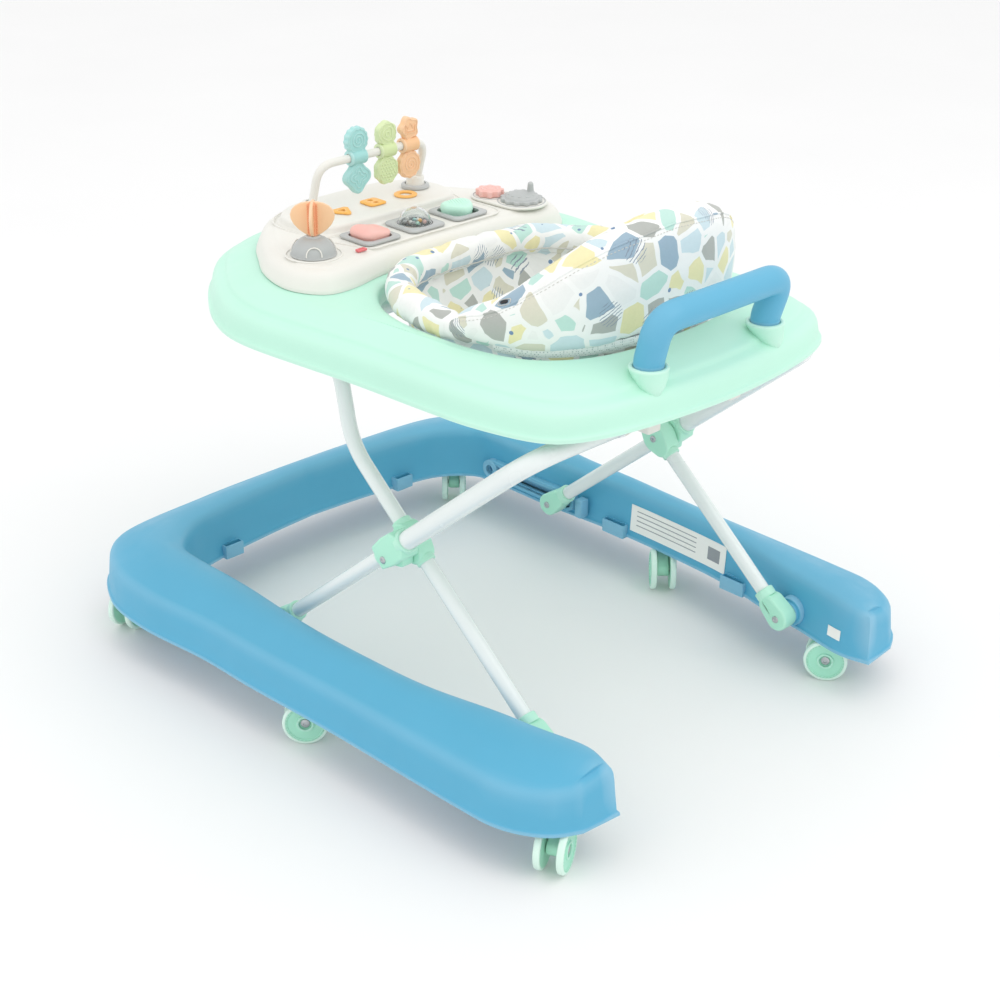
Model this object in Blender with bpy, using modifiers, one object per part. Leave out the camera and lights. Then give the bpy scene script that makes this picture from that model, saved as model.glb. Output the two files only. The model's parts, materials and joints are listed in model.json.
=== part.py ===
"""Baby walker: moulded U base on six swivel casters, scissor tube frame, tray with toys, padded seat.

Metres, +Z up, floor at Z = 0. +X is the walker's left side, -Y its front (toy end), +Y its rear.
"""
import math
import bpy
import bmesh
from mathutils import Matrix, Vector
from mathutils.bvhtree import BVHTree

MM = 0.001
GAP = 0.3 * MM                    # running gap between touching pieces

# Base moulding
BASE_HALF_WIDTH = 316 * MM        # widest point of the lip
BASE_HALF_LENGTH = 381.5 * MM
LEG_WIDTH = 82 * MM               # lip to lip across a side leg
FRONT_BAR_WIDTH = 74 * MM
BASE_UNDERSIDE = 49 * MM          # lip height over the floor
BASE_HEIGHT = 63 * MM             # lip underside to crown
BASE_WALL = 3 * MM

# Casters
WHEEL_RADIUS = 24 * MM
WHEEL_THICKNESS = 7 * MM
WHEEL_GAP = 16 * MM               # between the two discs of one caster
CASTER_TRAIL = 28 * MM
STEM_RADIUS = 5 * MM
AXLE_RADIUS = 3 * MM
CASTERS = {                       # x, y of the stem, direction of the axle in degrees
    "front_left": (BASE_HALF_WIDTH - 70 * MM, 67.5 * MM - BASE_HALF_LENGTH, -72),
    "front_right": (70 * MM - BASE_HALF_WIDTH, 67.5 * MM - BASE_HALF_LENGTH, -45),
    "middle_left": (BASE_HALF_WIDTH - 58 * MM, 37 * MM, -135),
    "middle_right": (58 * MM - BASE_HALF_WIDTH, 37 * MM, -45),
    "rear_left": (BASE_HALF_WIDTH - 87 * MM, BASE_HALF_LENGTH - 41.5 * MM, -64),
    "rear_right": (87 * MM - BASE_HALF_WIDTH, BASE_HALF_LENGTH - 41.5 * MM, -150),
}

# Scissor frame
ARM_ANGLE = math.radians(40)      # of both tubes at rest
ARM_LENGTH = 243 * MM             # foot to cross pivot
UPPER_ARM = 244 * MM              # cross pivot to the tray hinge
REAR_PIVOT = (271 * MM, 66 * MM)  # y, z of the rear feet
TUBE_RADIUS = 8 * MM
UPPER_TUBE_RADIUS = 10 * MM
TUBE_BEND = 45 * MM
FRAME_GAP = 3 * MM                # between the two tube planes

# Tray
TRAY_HALF_WIDTH = 248 * MM
TRAY_FRONT = -318 * MM
TRAY_REAR = 326 * MM
TRAY_BOTTOM = 395 * MM
TRAY_HEIGHT = 45 * MM
TRAY_WALL = 3 * MM
OPENING_HALF_WIDTH = 165 * MM
OPENING_FRONT = -58 * MM
OPENING_REAR = 250 * MM

# Toy panel, on top of the tray
PANEL_HALF_WIDTH = 190 * MM
PANEL_FRONT = -272 * MM
PANEL_REAR = -67 * MM
PANEL_HEIGHT = 23 * MM
PANEL_WALL = 2.5 * MM
PLATFORM_HALF_WIDTH = 106 * MM
PLATFORM_HEIGHT = 9 * MM
BEZEL_SIZE = 50 * MM
BEZEL_PITCH = 63.5 * MM
BEZEL_THICKNESS = 3 * MM
BEZEL_Y = -114 * MM
BUTTON_SIZE = 36 * MM
BUTTON_TRAVEL = 3 * MM
TOY_BAR_RADIUS = 4.5 * MM
TOY_BAR_HALF_SPAN = 76 * MM
TOY_BAR_RISE = 57 * MM
CHARM_THICKNESS = 8 * MM

# Push handle
HANDLE_RADIUS = 14.5 * MM
HANDLE_HALF_SPAN = 85 * MM
HANDLE_Y = 296 * MM
HANDLE_RISE = 52 * MM
HANDLE_LEAN = 12 * MM

# Seat
ROLL_RADIUS = 11 * MM
BACK_THICKNESS = 20 * MM
BACK_HEIGHT = 94 * MM
SLING_DEPTH = 118 * MM
SLING_THICKNESS = 5 * MM

TRAY_TOP = TRAY_BOTTOM + TRAY_HEIGHT
PANEL_BASE = TRAY_TOP + GAP
PANEL_TOP = PANEL_BASE + PANEL_HEIGHT
PLATFORM_TOP = PANEL_TOP + PLATFORM_HEIGHT
INNER_WALL_X = BASE_HALF_WIDTH - LEG_WIDTH - 5 * MM
SLIDER_X = INNER_WALL_X - 9 * MM                       # inner face of the slider disc
ARM_A_X = SLIDER_X - TUBE_RADIUS - 1.5 * MM            # slider arms, outboard
ARM_B_X = ARM_A_X - UPPER_TUBE_RADIUS - TUBE_RADIUS - FRAME_GAP - 3 * MM
FIT_PLANE_X = (ARM_A_X - UPPER_TUBE_RADIUS + ARM_B_X + TUBE_RADIUS) / 2
UP = Vector((0, math.cos(ARM_ANGLE), math.sin(ARM_ANGLE)))      # along the slider arm, upwards
DOWN = Vector((0, math.cos(ARM_ANGLE), -math.sin(ARM_ANGLE)))   # along the other arm, to its foot
FOOT_B = Vector((0, REAR_PIVOT[0], REAR_PIVOT[1]))
CROSS = FOOT_B - DOWN * ARM_LENGTH
FOOT_A = CROSS - UP * ARM_LENGTH
TRAY_HINGE = CROSS + UP * UPPER_ARM

COLOURS = {                       # base colour, roughness, metallic
    "base_blue": ((0.08, 0.40, 0.62), 0.45, 0.0), "mint": ((0.55, 0.92, 0.76), 0.4, 0.0),
    "fitting_mint": ((0.50, 0.88, 0.70), 0.4, 0.0), "tube_white": ((0.85, 0.88, 0.87), 0.3, 0.0),
    "panel_white": ((0.87, 0.86, 0.82), 0.45, 0.0), "grey": ((0.48, 0.50, 0.49), 0.5, 0.0),
    "pink": ((0.92, 0.50, 0.44), 0.5, 0.0), "orange": ((0.95, 0.55, 0.27), 0.5, 0.0),
    "teal": ((0.40, 0.78, 0.76), 0.5, 0.0), "lime": ((0.70, 0.82, 0.45), 0.5, 0.0),
    "yellow": ((0.93, 0.55, 0.08), 0.5, 0.0), "red": ((0.80, 0.12, 0.14), 0.45, 0.0),
    "clear": ((0.80, 0.84, 0.84), 0.1, 0.0), "fabric": ((0.82, 0.83, 0.80), 0.9, 0.0),
}


# Scene and material helpers

def clear_scene():
    for obj in list(bpy.data.objects):
        bpy.data.objects.remove(obj, do_unlink=True)


def new_collection(name):
    collection = bpy.data.collections.new(name)
    bpy.context.scene.collection.children.link(collection)
    return collection


def material(name):
    found = bpy.data.materials.get(name)
    if found:
        return found
    colour, roughness, metallic = COLOURS[name]
    made = bpy.data.materials.new(name)
    made.use_nodes = True
    shader = made.node_tree.nodes["Principled BSDF"]
    shader.inputs["Base Color"].default_value = (*colour, 1)
    shader.inputs["Roughness"].default_value = roughness
    shader.inputs["Metallic"].default_value = metallic
    return made


def finish(name, bm, colour, pivot=None, smooth=True):
    """Turn a bmesh in world space into a part whose origin is its pivot."""
    pivot = Vector(pivot) if pivot is not None else Vector((0, 0, 0))
    bmesh.ops.transform(bm, matrix=Matrix.Translation(-pivot), verts=bm.verts)
    mesh = bpy.data.meshes.new(name)
    bm.to_mesh(mesh)
    bm.free()
    obj = bpy.data.objects.new(name, mesh)
    obj.location = pivot
    PARTS.objects.link(obj)
    mesh.materials.append(material(colour))
    if smooth:
        mesh.shade_smooth()
        mesh.set_sharp_from_angle(angle=math.radians(35))
    return obj


def evaluated_mesh(obj):
    bpy.context.view_layer.update()
    graph = bpy.context.evaluated_depsgraph_get()
    return bpy.data.meshes.new_from_object(obj.evaluated_get(graph))


def as_bmesh(obj):
    """The evaluated shape of an object in world space, its seams welded; the object is removed."""
    mesh = evaluated_mesh(obj)
    bm = bmesh.new()
    bm.from_mesh(mesh)
    bmesh.ops.transform(bm, matrix=obj.matrix_world, verts=bm.verts)
    bmesh.ops.remove_doubles(bm, verts=bm.verts, dist=1e-6)
    bmesh.ops.recalc_face_normals(bm, faces=bm.faces)
    bpy.data.objects.remove(obj, do_unlink=True)
    return bm


def mirrored(obj, name):
    """A copy of a finished part reflected to the walker's right side."""
    mesh = evaluated_mesh(obj)
    mesh.transform(Matrix.Scale(-1, 4, (1, 0, 0)))
    mesh.flip_normals()
    copy = bpy.data.objects.new(name, mesh)
    copy.location = (-obj.location.x, obj.location.y, obj.location.z)
    PARTS.objects.link(copy)
    return copy


def boolean(obj, tool, operation="DIFFERENCE"):
    """Cut or join with a tool object, which moves to the cutters' collection."""
    for collection in list(tool.users_collection):
        collection.objects.unlink(tool)
    CUTTERS.objects.link(tool)
    tool.hide_render = True
    tool.display_type = "WIRE"
    step = obj.modifiers.new(tool.name, "BOOLEAN")
    step.operation = operation
    step.object = tool
    step.solver = "EXACT"


# Shape helpers

def catmull(p0, p1, p2, p3, t):
    return 0.5 * ((2 * p1) + (p2 - p0) * t + (2 * p0 - 5 * p1 + 4 * p2 - p3) * t * t
                  + (3 * p1 - p0 - 3 * p2 + p3) * t ** 3)


def smooth_path(points, count, closed=False):
    """Points spaced evenly along the smooth curve through a few given ones."""
    points = [Vector(p) for p in points]
    total = len(points)
    dense = []
    spans = total if closed else total - 1
    for i in range(spans):
        if closed:
            quad = [points[(i + k) % total] for k in (-1, 0, 1, 2)]
        else:
            quad = [points[min(max(i + k, 0), total - 1)] for k in (-1, 0, 1, 2)]
        dense += [catmull(*quad, step / 24) for step in range(24)]
    dense.append(points[0] if closed else points[-1])
    lengths = [0.0]
    for a, b in zip(dense, dense[1:]):
        lengths.append(lengths[-1] + (b - a).length)
    samples = []
    divisions = count if closed else count - 1
    index = 0
    for k in range(count):
        target = lengths[-1] * k / divisions
        while index < len(dense) - 2 and lengths[index + 1] < target:
            index += 1
        span = lengths[index + 1] - lengths[index]
        share = (target - lengths[index]) / span if span else 0
        samples.append(dense[index].lerp(dense[index + 1], min(max(share, 0), 1)))
    return samples


def symmetric_outline(half, count):
    """A closed outline from its +X half, given front centre to rear centre."""
    side = smooth_path([Vector((x, y, 0)) for x, y in half], count // 2 + 1)
    other = [Vector((-p.x, p.y, 0)) for p in reversed(side[1:-1])]
    return side + other


def offset_loop(loop, distance):
    """Move a closed outline inwards, each edge by its own distance, mitred at the corners."""
    total = len(loop)
    moved = []
    for i in range(total):
        before = loop[i - 1]
        here = loop[i]
        after = loop[(i + 1) % total]
        d_before, d_after = distance((i - 1) % total), distance(i)
        u = (here - before).normalized()
        v = (after - here).normalized()
        nu = Vector((-u.y, u.x, 0))
        nv = Vector((-v.y, v.x, 0))
        cross = nu.x * nv.y - nu.y * nv.x
        if abs(cross) < 0.30:
            bisector = (nu + nv).normalized()
            moved.append(here + bisector * (d_before + d_after) / 2)
        else:
            x = (d_before * nv.y - d_after * nu.y) / cross
            y = (nu.x * d_after - nv.x * d_before) / cross
            moved.append(here + Vector((x, y, 0)))
    return moved


def skin(rings, cap=False):
    """An open surface through closed rings of equal length, capped on the last ring if asked."""
    bm = bmesh.new()
    rows = [[bm.verts.new(p) for p in ring] for ring in rings]
    size = len(rows[0])
    for low, high in zip(rows, rows[1:]):
        for i in range(size):
            j = (i + 1) % size
            bm.faces.new((low[i], low[j], high[j], high[i]))
    if cap:
        face = bm.faces.new(rows[-1])
        bmesh.ops.triangulate(bm, faces=[face])
    return bm


def solidify(obj, thickness, inward=True):
    step = obj.modifiers.new("wall", "SOLIDIFY")
    step.thickness = thickness
    step.offset = -1 if inward else 1
    return step


def box_bmesh(low, high):
    bm = bmesh.new()
    bmesh.ops.create_cube(bm, size=1)
    size = [b - a for a, b in zip(low, high)]
    centre = [(a + b) / 2 for a, b in zip(low, high)]
    bmesh.ops.scale(bm, vec=size, verts=bm.verts)
    bmesh.ops.translate(bm, vec=centre, verts=bm.verts)
    return bm


def box(name, low, high, colour="grey", pivot=None, bevel=0.0, segments=2):
    low, high = [min(a, b) for a, b in zip(low, high)], [max(a, b) for a, b in zip(low, high)]
    obj = finish(name, box_bmesh(low, high), colour, pivot)
    if bevel:
        step = obj.modifiers.new("edges", "BEVEL")
        step.width = bevel
        step.segments = segments
    return obj


def cylinder_between(name, start, end, radius, colour="grey", pivot=None, sides=16, end_radius=None):
    start, end = Vector(start), Vector(end)
    bm = bmesh.new()
    bmesh.ops.create_cone(bm, cap_ends=True, segments=sides, radius1=radius,
                          radius2=radius if end_radius is None else end_radius,
                          depth=(end - start).length)
    turn = (end - start).to_track_quat("Z", "Y").to_matrix().to_4x4()
    bmesh.ops.transform(bm, matrix=Matrix.Translation((start + end) / 2) @ turn, verts=bm.verts)
    return finish(name, bm, colour, pivot)


def tube(name, path, radius, colour, pivot=None, resolution=2):
    """A round bar along a polyline, with filled ends."""
    curve = bpy.data.curves.new(name, "CURVE")
    curve.dimensions = "3D"
    curve.bevel_depth = radius
    curve.bevel_resolution = resolution
    curve.use_fill_caps = True
    spline = curve.splines.new("POLY")
    spline.points.add(len(path) - 1)
    for point, place in zip(spline.points, path):
        point.co = (*place, 1)
    obj = bpy.data.objects.new(name, curve)
    PARTS.objects.link(obj)
    return finish(name, as_bmesh(obj), colour, pivot)


def rounded_route(corners, radius, steps=5):
    """A route through corner points with each inner corner rounded by an arc-like bend."""
    corners = [Vector(c) for c in corners]
    route = [corners[0]]
    for before, here, after in zip(corners, corners[1:], corners[2:]):
        reach = min(radius, (here - before).length * 0.49, (after - here).length * 0.49)
        start = here + (before - here).normalized() * reach
        end = here + (after - here).normalized() * reach
        for step in range(steps + 1):
            t = step / steps
            route.append(start * (1 - t) ** 2 + here * 2 * t * (1 - t) + end * t * t)
    route.append(corners[-1])
    return route


def plate(name, outline, thickness, matrix, colour, pivot=None, edge=0.0):
    """A flat piece from a closed outline, filled and extruded both ways, then placed."""
    curve = bpy.data.curves.new(name, "CURVE")
    curve.dimensions = "2D"
    curve.fill_mode = "BOTH"
    curve.extrude = thickness / 2 - edge
    curve.bevel_depth = edge
    curve.bevel_resolution = 0
    curve.offset = -edge
    spline = curve.splines.new("POLY")
    spline.points.add(len(outline) - 1)
    for point, place in zip(spline.points, outline):
        point.co = (place[0], place[1], 0, 1)
    spline.use_cyclic_u = True
    obj = bpy.data.objects.new(name, curve)
    obj.matrix_world = matrix
    PARTS.objects.link(obj)
    return finish(name, as_bmesh(obj), colour, pivot)


def side_plate(name, outline, x_low, x_high, colour, pivot=None):
    """A plate whose outline is given in Y and Z and whose thickness runs along X."""
    turn = Matrix(((0, 0, 1, (x_low + x_high) / 2), (1, 0, 0, 0), (0, 1, 0, 0), (0, 0, 0, 1)))
    return plate(name, outline, x_high - x_low, turn, colour, pivot)


def circle(centre, radius, sides=20, start=0.0):
    return [(centre[0] + radius * math.cos(start + math.tau * k / sides),
             centre[1] + radius * math.sin(start + math.tau * k / sides)) for k in range(sides)]


def hull_outline(points):
    """The convex outline round a set of flat points, counter-clockwise."""
    points = sorted(set((round(x, 7), round(y, 7)) for x, y in points))

    def half(sequence):
        chain = []
        for p in sequence:
            while len(chain) >= 2:
                (ax, ay), (bx, by) = chain[-2], chain[-1]
                if (bx - ax) * (p[1] - ay) - (by - ay) * (p[0] - ax) > 1e-12:
                    break
                chain.pop()
            chain.append(p)
        return chain[:-1]
    return half(points) + half(reversed(points))


def turned(name, profile, colour, place, axis=(0, 0, 1), steps=24, pivot=None):
    """A turned solid; the profile's (radius, height) points run down its outer side, top to bottom."""
    bm = bmesh.new()
    verts = [bm.verts.new((radius, 0, height)) for radius, height in profile]
    for a, b in zip(verts, verts[1:]):
        bm.edges.new((a, b))
    mesh = bpy.data.meshes.new(name)
    bm.to_mesh(mesh)
    bm.free()
    obj = bpy.data.objects.new(name, mesh)
    PARTS.objects.link(obj)
    screw = obj.modifiers.new("turn", "SCREW")
    screw.axis = "Z"
    screw.steps = steps
    screw.render_steps = steps
    screw.use_merge_vertices = True
    screw.merge_threshold = 1e-5
    turn = Vector(axis).to_track_quat("Z", "Y").to_matrix().to_4x4()
    obj.matrix_world = Matrix.Translation(place) @ turn
    return finish(name, as_bmesh(obj), colour, pivot)


# Base moulding

SIDE_STEPS = 19                   # outline steps along each long side of the half U
REAR_STEPS = 2


def base_outline():
    """Lip outline of the U, counter-clockwise from the front centre, with each edge's inner share."""
    w, l = BASE_HALF_WIDTH, BASE_HALF_LENGTH
    outer = [(0, -l), (120 * MM, -l + 3 * MM), (w - 66 * MM, -l + 19 * MM), (w - 13 * MM, -l + 82 * MM),
             (w, -l + 160 * MM), (w - 8 * MM, -l + 262 * MM), (w - 9 * MM, -l + 345 * MM),
             (w - 14 * MM, l - 290 * MM), (w - 16 * MM, l - 120 * MM), (w - 21 * MM, l - 62 * MM),
             (w - 43 * MM, l - 22 * MM), (w - 72 * MM, l - 4 * MM)]
    rear = [(w - 72 * MM, l - 4 * MM), (w - 118 * MM, l)]
    inner_x = w - LEG_WIDTH
    bar = -l + FRONT_BAR_WIDTH
    inner = [(w - 118 * MM, l), (w - 124 * MM, l - 38 * MM), (inner_x - 31 * MM, l - 94 * MM),
             (inner_x - 23 * MM, l - 143 * MM), (inner_x - 6 * MM, l - 222 * MM), (inner_x, l - 296 * MM),
             (inner_x + 2 * MM, l - 394 * MM), (inner_x - 5 * MM, bar + 178 * MM),
             (inner_x - 6 * MM, bar + 78 * MM), (inner_x - 16 * MM, bar + 50 * MM),
             (inner_x - 46 * MM, bar + 26 * MM), (inner_x - 87 * MM, bar + 15 * MM),
             (inner_x - 163 * MM, bar + 5 * MM), (0, bar)]
    stretches = ((outer, SIDE_STEPS, 0.0), (rear, REAR_STEPS, 0.3), (inner, SIDE_STEPS, 1.0))
    half, inner_share = [], []
    for points, steps, share in stretches:
        samples = smooth_path([Vector((x, y, 0)) for x, y in points], steps + 1)
        half += samples[:-1]
        inner_share += [share] * steps
    half.append(Vector((0, bar, 0)))
    loop = half + [Vector((-p.x, p.y, 0)) for p in reversed(half[1:-1])]
    return loop, inner_share + inner_share[::-1]


BASE_PROFILE = (                  # outer inset and height, inner inset and height, up from the lip
    (0, 0, 0, 0), (0, 5, 0, 5), (3, 6, 2.5, 6), (6, 31, 5.5, 46), (10, 38, 8, 55), (20, 46.5, 13, 60.5),
    (36, 54, 22, 63),
)


def boss_top(skin_tree, x, y, radius):
    """Highest place where a boss of this radius still ends inside the top skin."""
    up = Vector((0, 0, 1))
    heights = [skin_tree.ray_cast(Vector((a, b, 0)), up)[0].z for a, b in circle((x, y), radius, 8)]
    return min(heights) - 1.2 * MM


def ladder_cap(bm, ring, half):
    """Close the top of the U with rungs from its outer edge to its inner edge."""
    total = len(ring)
    for i in range(SIDE_STEPS):
        rung = (i, i + 1, half - i - 1, half - i)
        bm.faces.new([ring[k] for k in rung])
        bm.faces.new([ring[(total - k) % total] for k in reversed(rung)])
    rear = range(SIDE_STEPS, SIDE_STEPS + REAR_STEPS + 1)
    bm.faces.new([ring[k] for k in rear])
    bm.faces.new([ring[total - k] for k in reversed(rear)])


def base_shell():
    loop, shares = base_outline()
    top = max(row[3] for row in BASE_PROFILE)
    total = len(loop)
    rings = []
    for outer_in, outer_up, inner_in, inner_up in BASE_PROFILE:
        def inset(i):
            return (outer_in + (inner_in - outer_in) * shares[i % total]) * MM
        ring = offset_loop(loop, inset)
        for i, point in enumerate(ring):
            share = (shares[i - 1] + shares[i % total]) / 2
            height = outer_up + (inner_up - outer_up) * share
            point.z = BASE_UNDERSIDE + height / top * BASE_HEIGHT
        rings.append(ring)
    bm = skin(rings)
    ladder_cap(bm, list(bm.verts)[-total:], total // 2)
    skin_tree = BVHTree.FromBMesh(bm)
    shell = finish("base_shell", bm, "base_blue")
    solidify(shell, BASE_WALL)
    for name, (x, y, _) in CASTERS.items():
        radius = STEM_RADIUS + 3 * MM
        boss = cylinder_between("boss_" + name, (x, y, CASTER_BOSS_LOW),
                                (x, y, boss_top(skin_tree, x, y, radius)), radius, sides=12)
        boolean(shell, boss, "UNION")
        bore = cylinder_between("bore_" + name, (x, y, CASTER_BOSS_LOW - 5 * MM),
                                (x, y, STEM_TOP + 2 * MM), STEM_RADIUS + GAP, sides=12)
        boolean(shell, bore)
    for side in (1, -1):
        add_track(shell, side)
        add_rear_boss(shell, side)
        for label, y in (("a", -18 * MM), ("b", 175 * MM)):
            add_side_pocket(shell, side, y, label)
        add_front_pocket(shell, side)
    return shell


def side_name(side):
    return "left" if side > 0 else "right"


def add_track(shell, side):
    """Raised rails on a leg's inner wall with the slot that the slider runs in."""
    tag = side_name(side)
    face = INNER_WALL_X - 4.5 * MM
    low, high = TRACK_FRONT, TRACK_REAR
    z = FOOT_A.z
    block = box("track_" + tag, (side * face, low, z - 12 * MM),
                (side * (INNER_WALL_X + 7 * MM), high, z + 12 * MM))
    boolean(shell, block, "UNION")
    slot = box("slot_" + tag, (side * (face - 5 * MM), low + 8 * MM, z - SLOT_HALF_HEIGHT),
               (side * (INNER_WALL_X + 15 * MM), high - 8 * MM, z + SLOT_HALF_HEIGHT))
    boolean(shell, slot)


def add_rear_boss(shell, side):
    """Round boss that carries the rear pivot pin."""
    tag = side_name(side)
    face = REAR_PIN_FACE + GAP
    boss = cylinder_between("rear_boss_" + tag, (side * face, FOOT_B.y, FOOT_B.z),
                            (side * (face + 16 * MM), FOOT_B.y, FOOT_B.z), 16 * MM)
    boolean(shell, boss, "UNION")
    bore = cylinder_between("rear_bore_" + tag, (side * (face - 5 * MM), FOOT_B.y, FOOT_B.z),
                            (side * (face + 12 * MM), FOOT_B.y, FOOT_B.z), REAR_PIN_RADIUS + GAP)
    boolean(shell, bore)


def wall_x(y):
    """Inner lip of a side leg at a place along it, for the small pockets on the wall."""
    loop, shares = base_outline()
    near = [p for p, share in zip(loop, shares) if share == 1.0 and p.x > 0.1]
    return min(near, key=lambda p: abs(p.y - y)).x


def add_side_pocket(shell, side, y, label):
    """Small open-topped pocket moulded on the inner wall."""
    tag = f"{side_name(side)}_{label}"
    x = wall_x(y)
    low = BASE_UNDERSIDE - 2 * MM
    body = box("pocket_" + tag, (side * (x - 6 * MM), y - 17 * MM, low),
               (side * (x + 6 * MM), y + 17 * MM, low + 17 * MM))
    boolean(shell, body, "UNION")
    hollow = box("pocket_cut_" + tag, (side * (x - 4 * MM), y - 15 * MM, low + 9 * MM),
                 (side * (x - 0.5 * MM), y + 15 * MM, low + 25 * MM))
    boolean(shell, hollow)


def add_front_pocket(shell, side):
    tag = side_name(side)
    x = side * 135 * MM
    y = -BASE_HALF_LENGTH + FRONT_BAR_WIDTH + 14 * MM
    low = BASE_UNDERSIDE - 2 * MM
    body = box("front_pocket_" + tag, (x - 13 * MM, y - 8 * MM, low), (x + 13 * MM, y + 6 * MM, low + 17 * MM))
    boolean(shell, body, "UNION")
    hollow = box("front_pocket_cut_" + tag, (x - 11 * MM, y + 0.5 * MM, low + 9 * MM),
                 (x + 11 * MM, y + 4 * MM, low + 25 * MM))
    boolean(shell, hollow)


# Casters

CASTER_PLATE_LOW = 2 * WHEEL_RADIUS + 0.6 * MM
CASTER_PLATE_TOP = CASTER_PLATE_LOW + 3.5 * MM
CASTER_BOSS_LOW = CASTER_PLATE_TOP + 0.5 * MM
STEM_TOP = BASE_UNDERSIDE + BASE_HEIGHT - 30 * MM


def caster(name, x, y, degrees):
    """A swivel housing on its stem and the pair of discs on one axle."""
    stem_foot = Vector((x, y, 0))
    turn = Matrix.Translation(stem_foot) @ Matrix.Rotation(math.radians(degrees), 4, "Z")
    axle = turn @ Vector((0, CASTER_TRAIL, WHEEL_RADIUS))
    half_web = WHEEL_GAP / 2 - 0.8 * MM
    web_points = circle((CASTER_TRAIL, WHEEL_RADIUS), AXLE_RADIUS + 4.5 * MM, 12)
    web_points += [(-half_web, CASTER_PLATE_LOW + MM), (half_web, CASTER_PLATE_LOW + MM),
                   (-half_web, CASTER_PLATE_LOW - 10 * MM)]
    housing = side_plate("caster_housing_" + name, hull_outline(web_points), -half_web, half_web,
                         "fitting_mint")
    disc = cylinder_between("caster_disc_" + name, (0, 0, CASTER_PLATE_LOW), (0, 0, CASTER_PLATE_TOP),
                            12 * MM)
    stem = cylinder_between("caster_stem_" + name, (0, 0, CASTER_PLATE_LOW + MM), (0, 0, STEM_TOP),
                            STEM_RADIUS, sides=12)
    hole = cylinder_between("caster_hole_" + name, (-0.02, CASTER_TRAIL, WHEEL_RADIUS),
                            (0.02, CASTER_TRAIL, WHEEL_RADIUS), AXLE_RADIUS + 0.4 * MM, sides=12)
    boolean(housing, disc, "UNION")
    boolean(housing, stem, "UNION")
    boolean(housing, hole)
    bm = as_bmesh(housing)
    bmesh.ops.transform(bm, matrix=turn, verts=bm.verts)
    finish("caster_housing_" + name, bm, "fitting_mint", stem_foot)
    inner, outer = WHEEL_GAP / 2, WHEEL_GAP / 2 + WHEEL_THICKNESS
    edge = 1.5 * MM
    half_profile = [(0, outer), (WHEEL_RADIUS - edge, outer), (WHEEL_RADIUS, outer - edge),
                    (WHEEL_RADIUS, inner + edge), (WHEEL_RADIUS - edge, inner), (AXLE_RADIUS, inner)]
    profile = half_profile + [(radius, -height) for radius, height in reversed(half_profile)]
    turned("caster_wheels_" + name, profile, "fitting_mint", axle, turn.to_3x3() @ Vector((1, 0, 0)),
           20, axle)


# Scissor frame

REAR_PIN_RADIUS = 5 * MM
REAR_PIN_FACE = ARM_B_X + TUBE_RADIUS + 2.5 * MM
SLOT_HALF_HEIGHT = 4 * MM
FOLD_TRAVEL = 2 * ARM_LENGTH * (math.cos(ARM_ANGLE - math.radians(30)) - math.cos(ARM_ANGLE))
TRACK_REAR = FOOT_A.y + 22 * MM
TRACK_FRONT = FOOT_A.y - FOLD_TRAVEL - 24 * MM
SOCKET = 8 * MM                   # from a foot's pivot to the tube's end


def at_x(point, x):
    return Vector((x, point.y, point.z))


def yz(point):
    return (point.y, point.z)


def foot_block(name, foot, along, x_low, x_high, length, colour="fitting_mint"):
    """Round-ended foot with a socket for the tube that runs up from it."""
    outline = hull_outline(circle(yz(foot), 14 * MM, 20) + circle(yz(foot + along * length), 11.5 * MM, 20))
    block = side_plate(name, outline, x_low, x_high, colour, at_x(foot, 0))
    centre = (x_low + x_high) / 2
    bore = cylinder_between("socket_" + name, at_x(foot + along * (SOCKET - MM), centre),
                            at_x(foot + along * (length + 40 * MM), centre), TUBE_RADIUS + GAP)
    boolean(block, bore)
    return block


def slider_arms():
    """The outboard arms: thin lower tubes, cross blocks, and the thick U tube that carries the tray."""
    x = ARM_A_X
    half = TUBE_RADIUS + 1.5 * MM
    foot = foot_block("slider_foot_left", FOOT_A, UP, x - half, x + half, 24 * MM)
    pin_hole = cylinder_between("slider_pin_hole", at_x(FOOT_A, x - 1 * MM), at_x(FOOT_A, x + 20 * MM),
                                SLIDER_PIN_RADIUS + GAP)
    boolean(foot, pin_hole)
    mirrored(foot, "slider_foot_right")
    lower = tube("lower_arm_left", [at_x(FOOT_A + UP * SOCKET, x), at_x(CROSS - UP * 2 * MM, x)],
                 TUBE_RADIUS, "tube_white", at_x(CROSS, 0))
    mirrored(lower, "lower_arm_right")
    block_outline = [(-20 * MM, -13 * MM), (-2 * MM, -15 * MM), (14 * MM, -14 * MM), (20 * MM, -10 * MM),
                     (20 * MM, 10 * MM), (14 * MM, 14 * MM), (-2 * MM, 15 * MM), (-20 * MM, 13 * MM)]
    outline = [yz(CROSS + UP * a + Vector((0, -UP.z, UP.y)) * b) for a, b in block_outline]
    block = side_plate("cross_block_left", outline, FIT_PLANE_X + GAP, x + UPPER_TUBE_RADIUS + 2 * MM,
                       "fitting_mint", at_x(CROSS, 0))
    boolean(block, cylinder_between("cross_bore_low", at_x(CROSS - UP * 60 * MM, x), at_x(CROSS, x),
                                    TUBE_RADIUS + GAP))
    boolean(block, cylinder_between("cross_bore_high", at_x(CROSS - UP * MM, x), at_x(CROSS + UP * 60 * MM, x),
                                    UPPER_TUBE_RADIUS + GAP))
    mirrored(block, "cross_block_right")
    corner = at_x(TRAY_HINGE, x)
    corners = [at_x(CROSS + UP * 2 * MM, x), corner, at_x(TRAY_HINGE, -x), at_x(CROSS + UP * 2 * MM, -x)]
    tube("upper_arm_hoop", rounded_route(corners, TUBE_BEND), UPPER_TUBE_RADIUS, "tube_white",
         at_x(CROSS, 0))


SLIDER_PIN_RADIUS = 4 * MM


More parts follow.
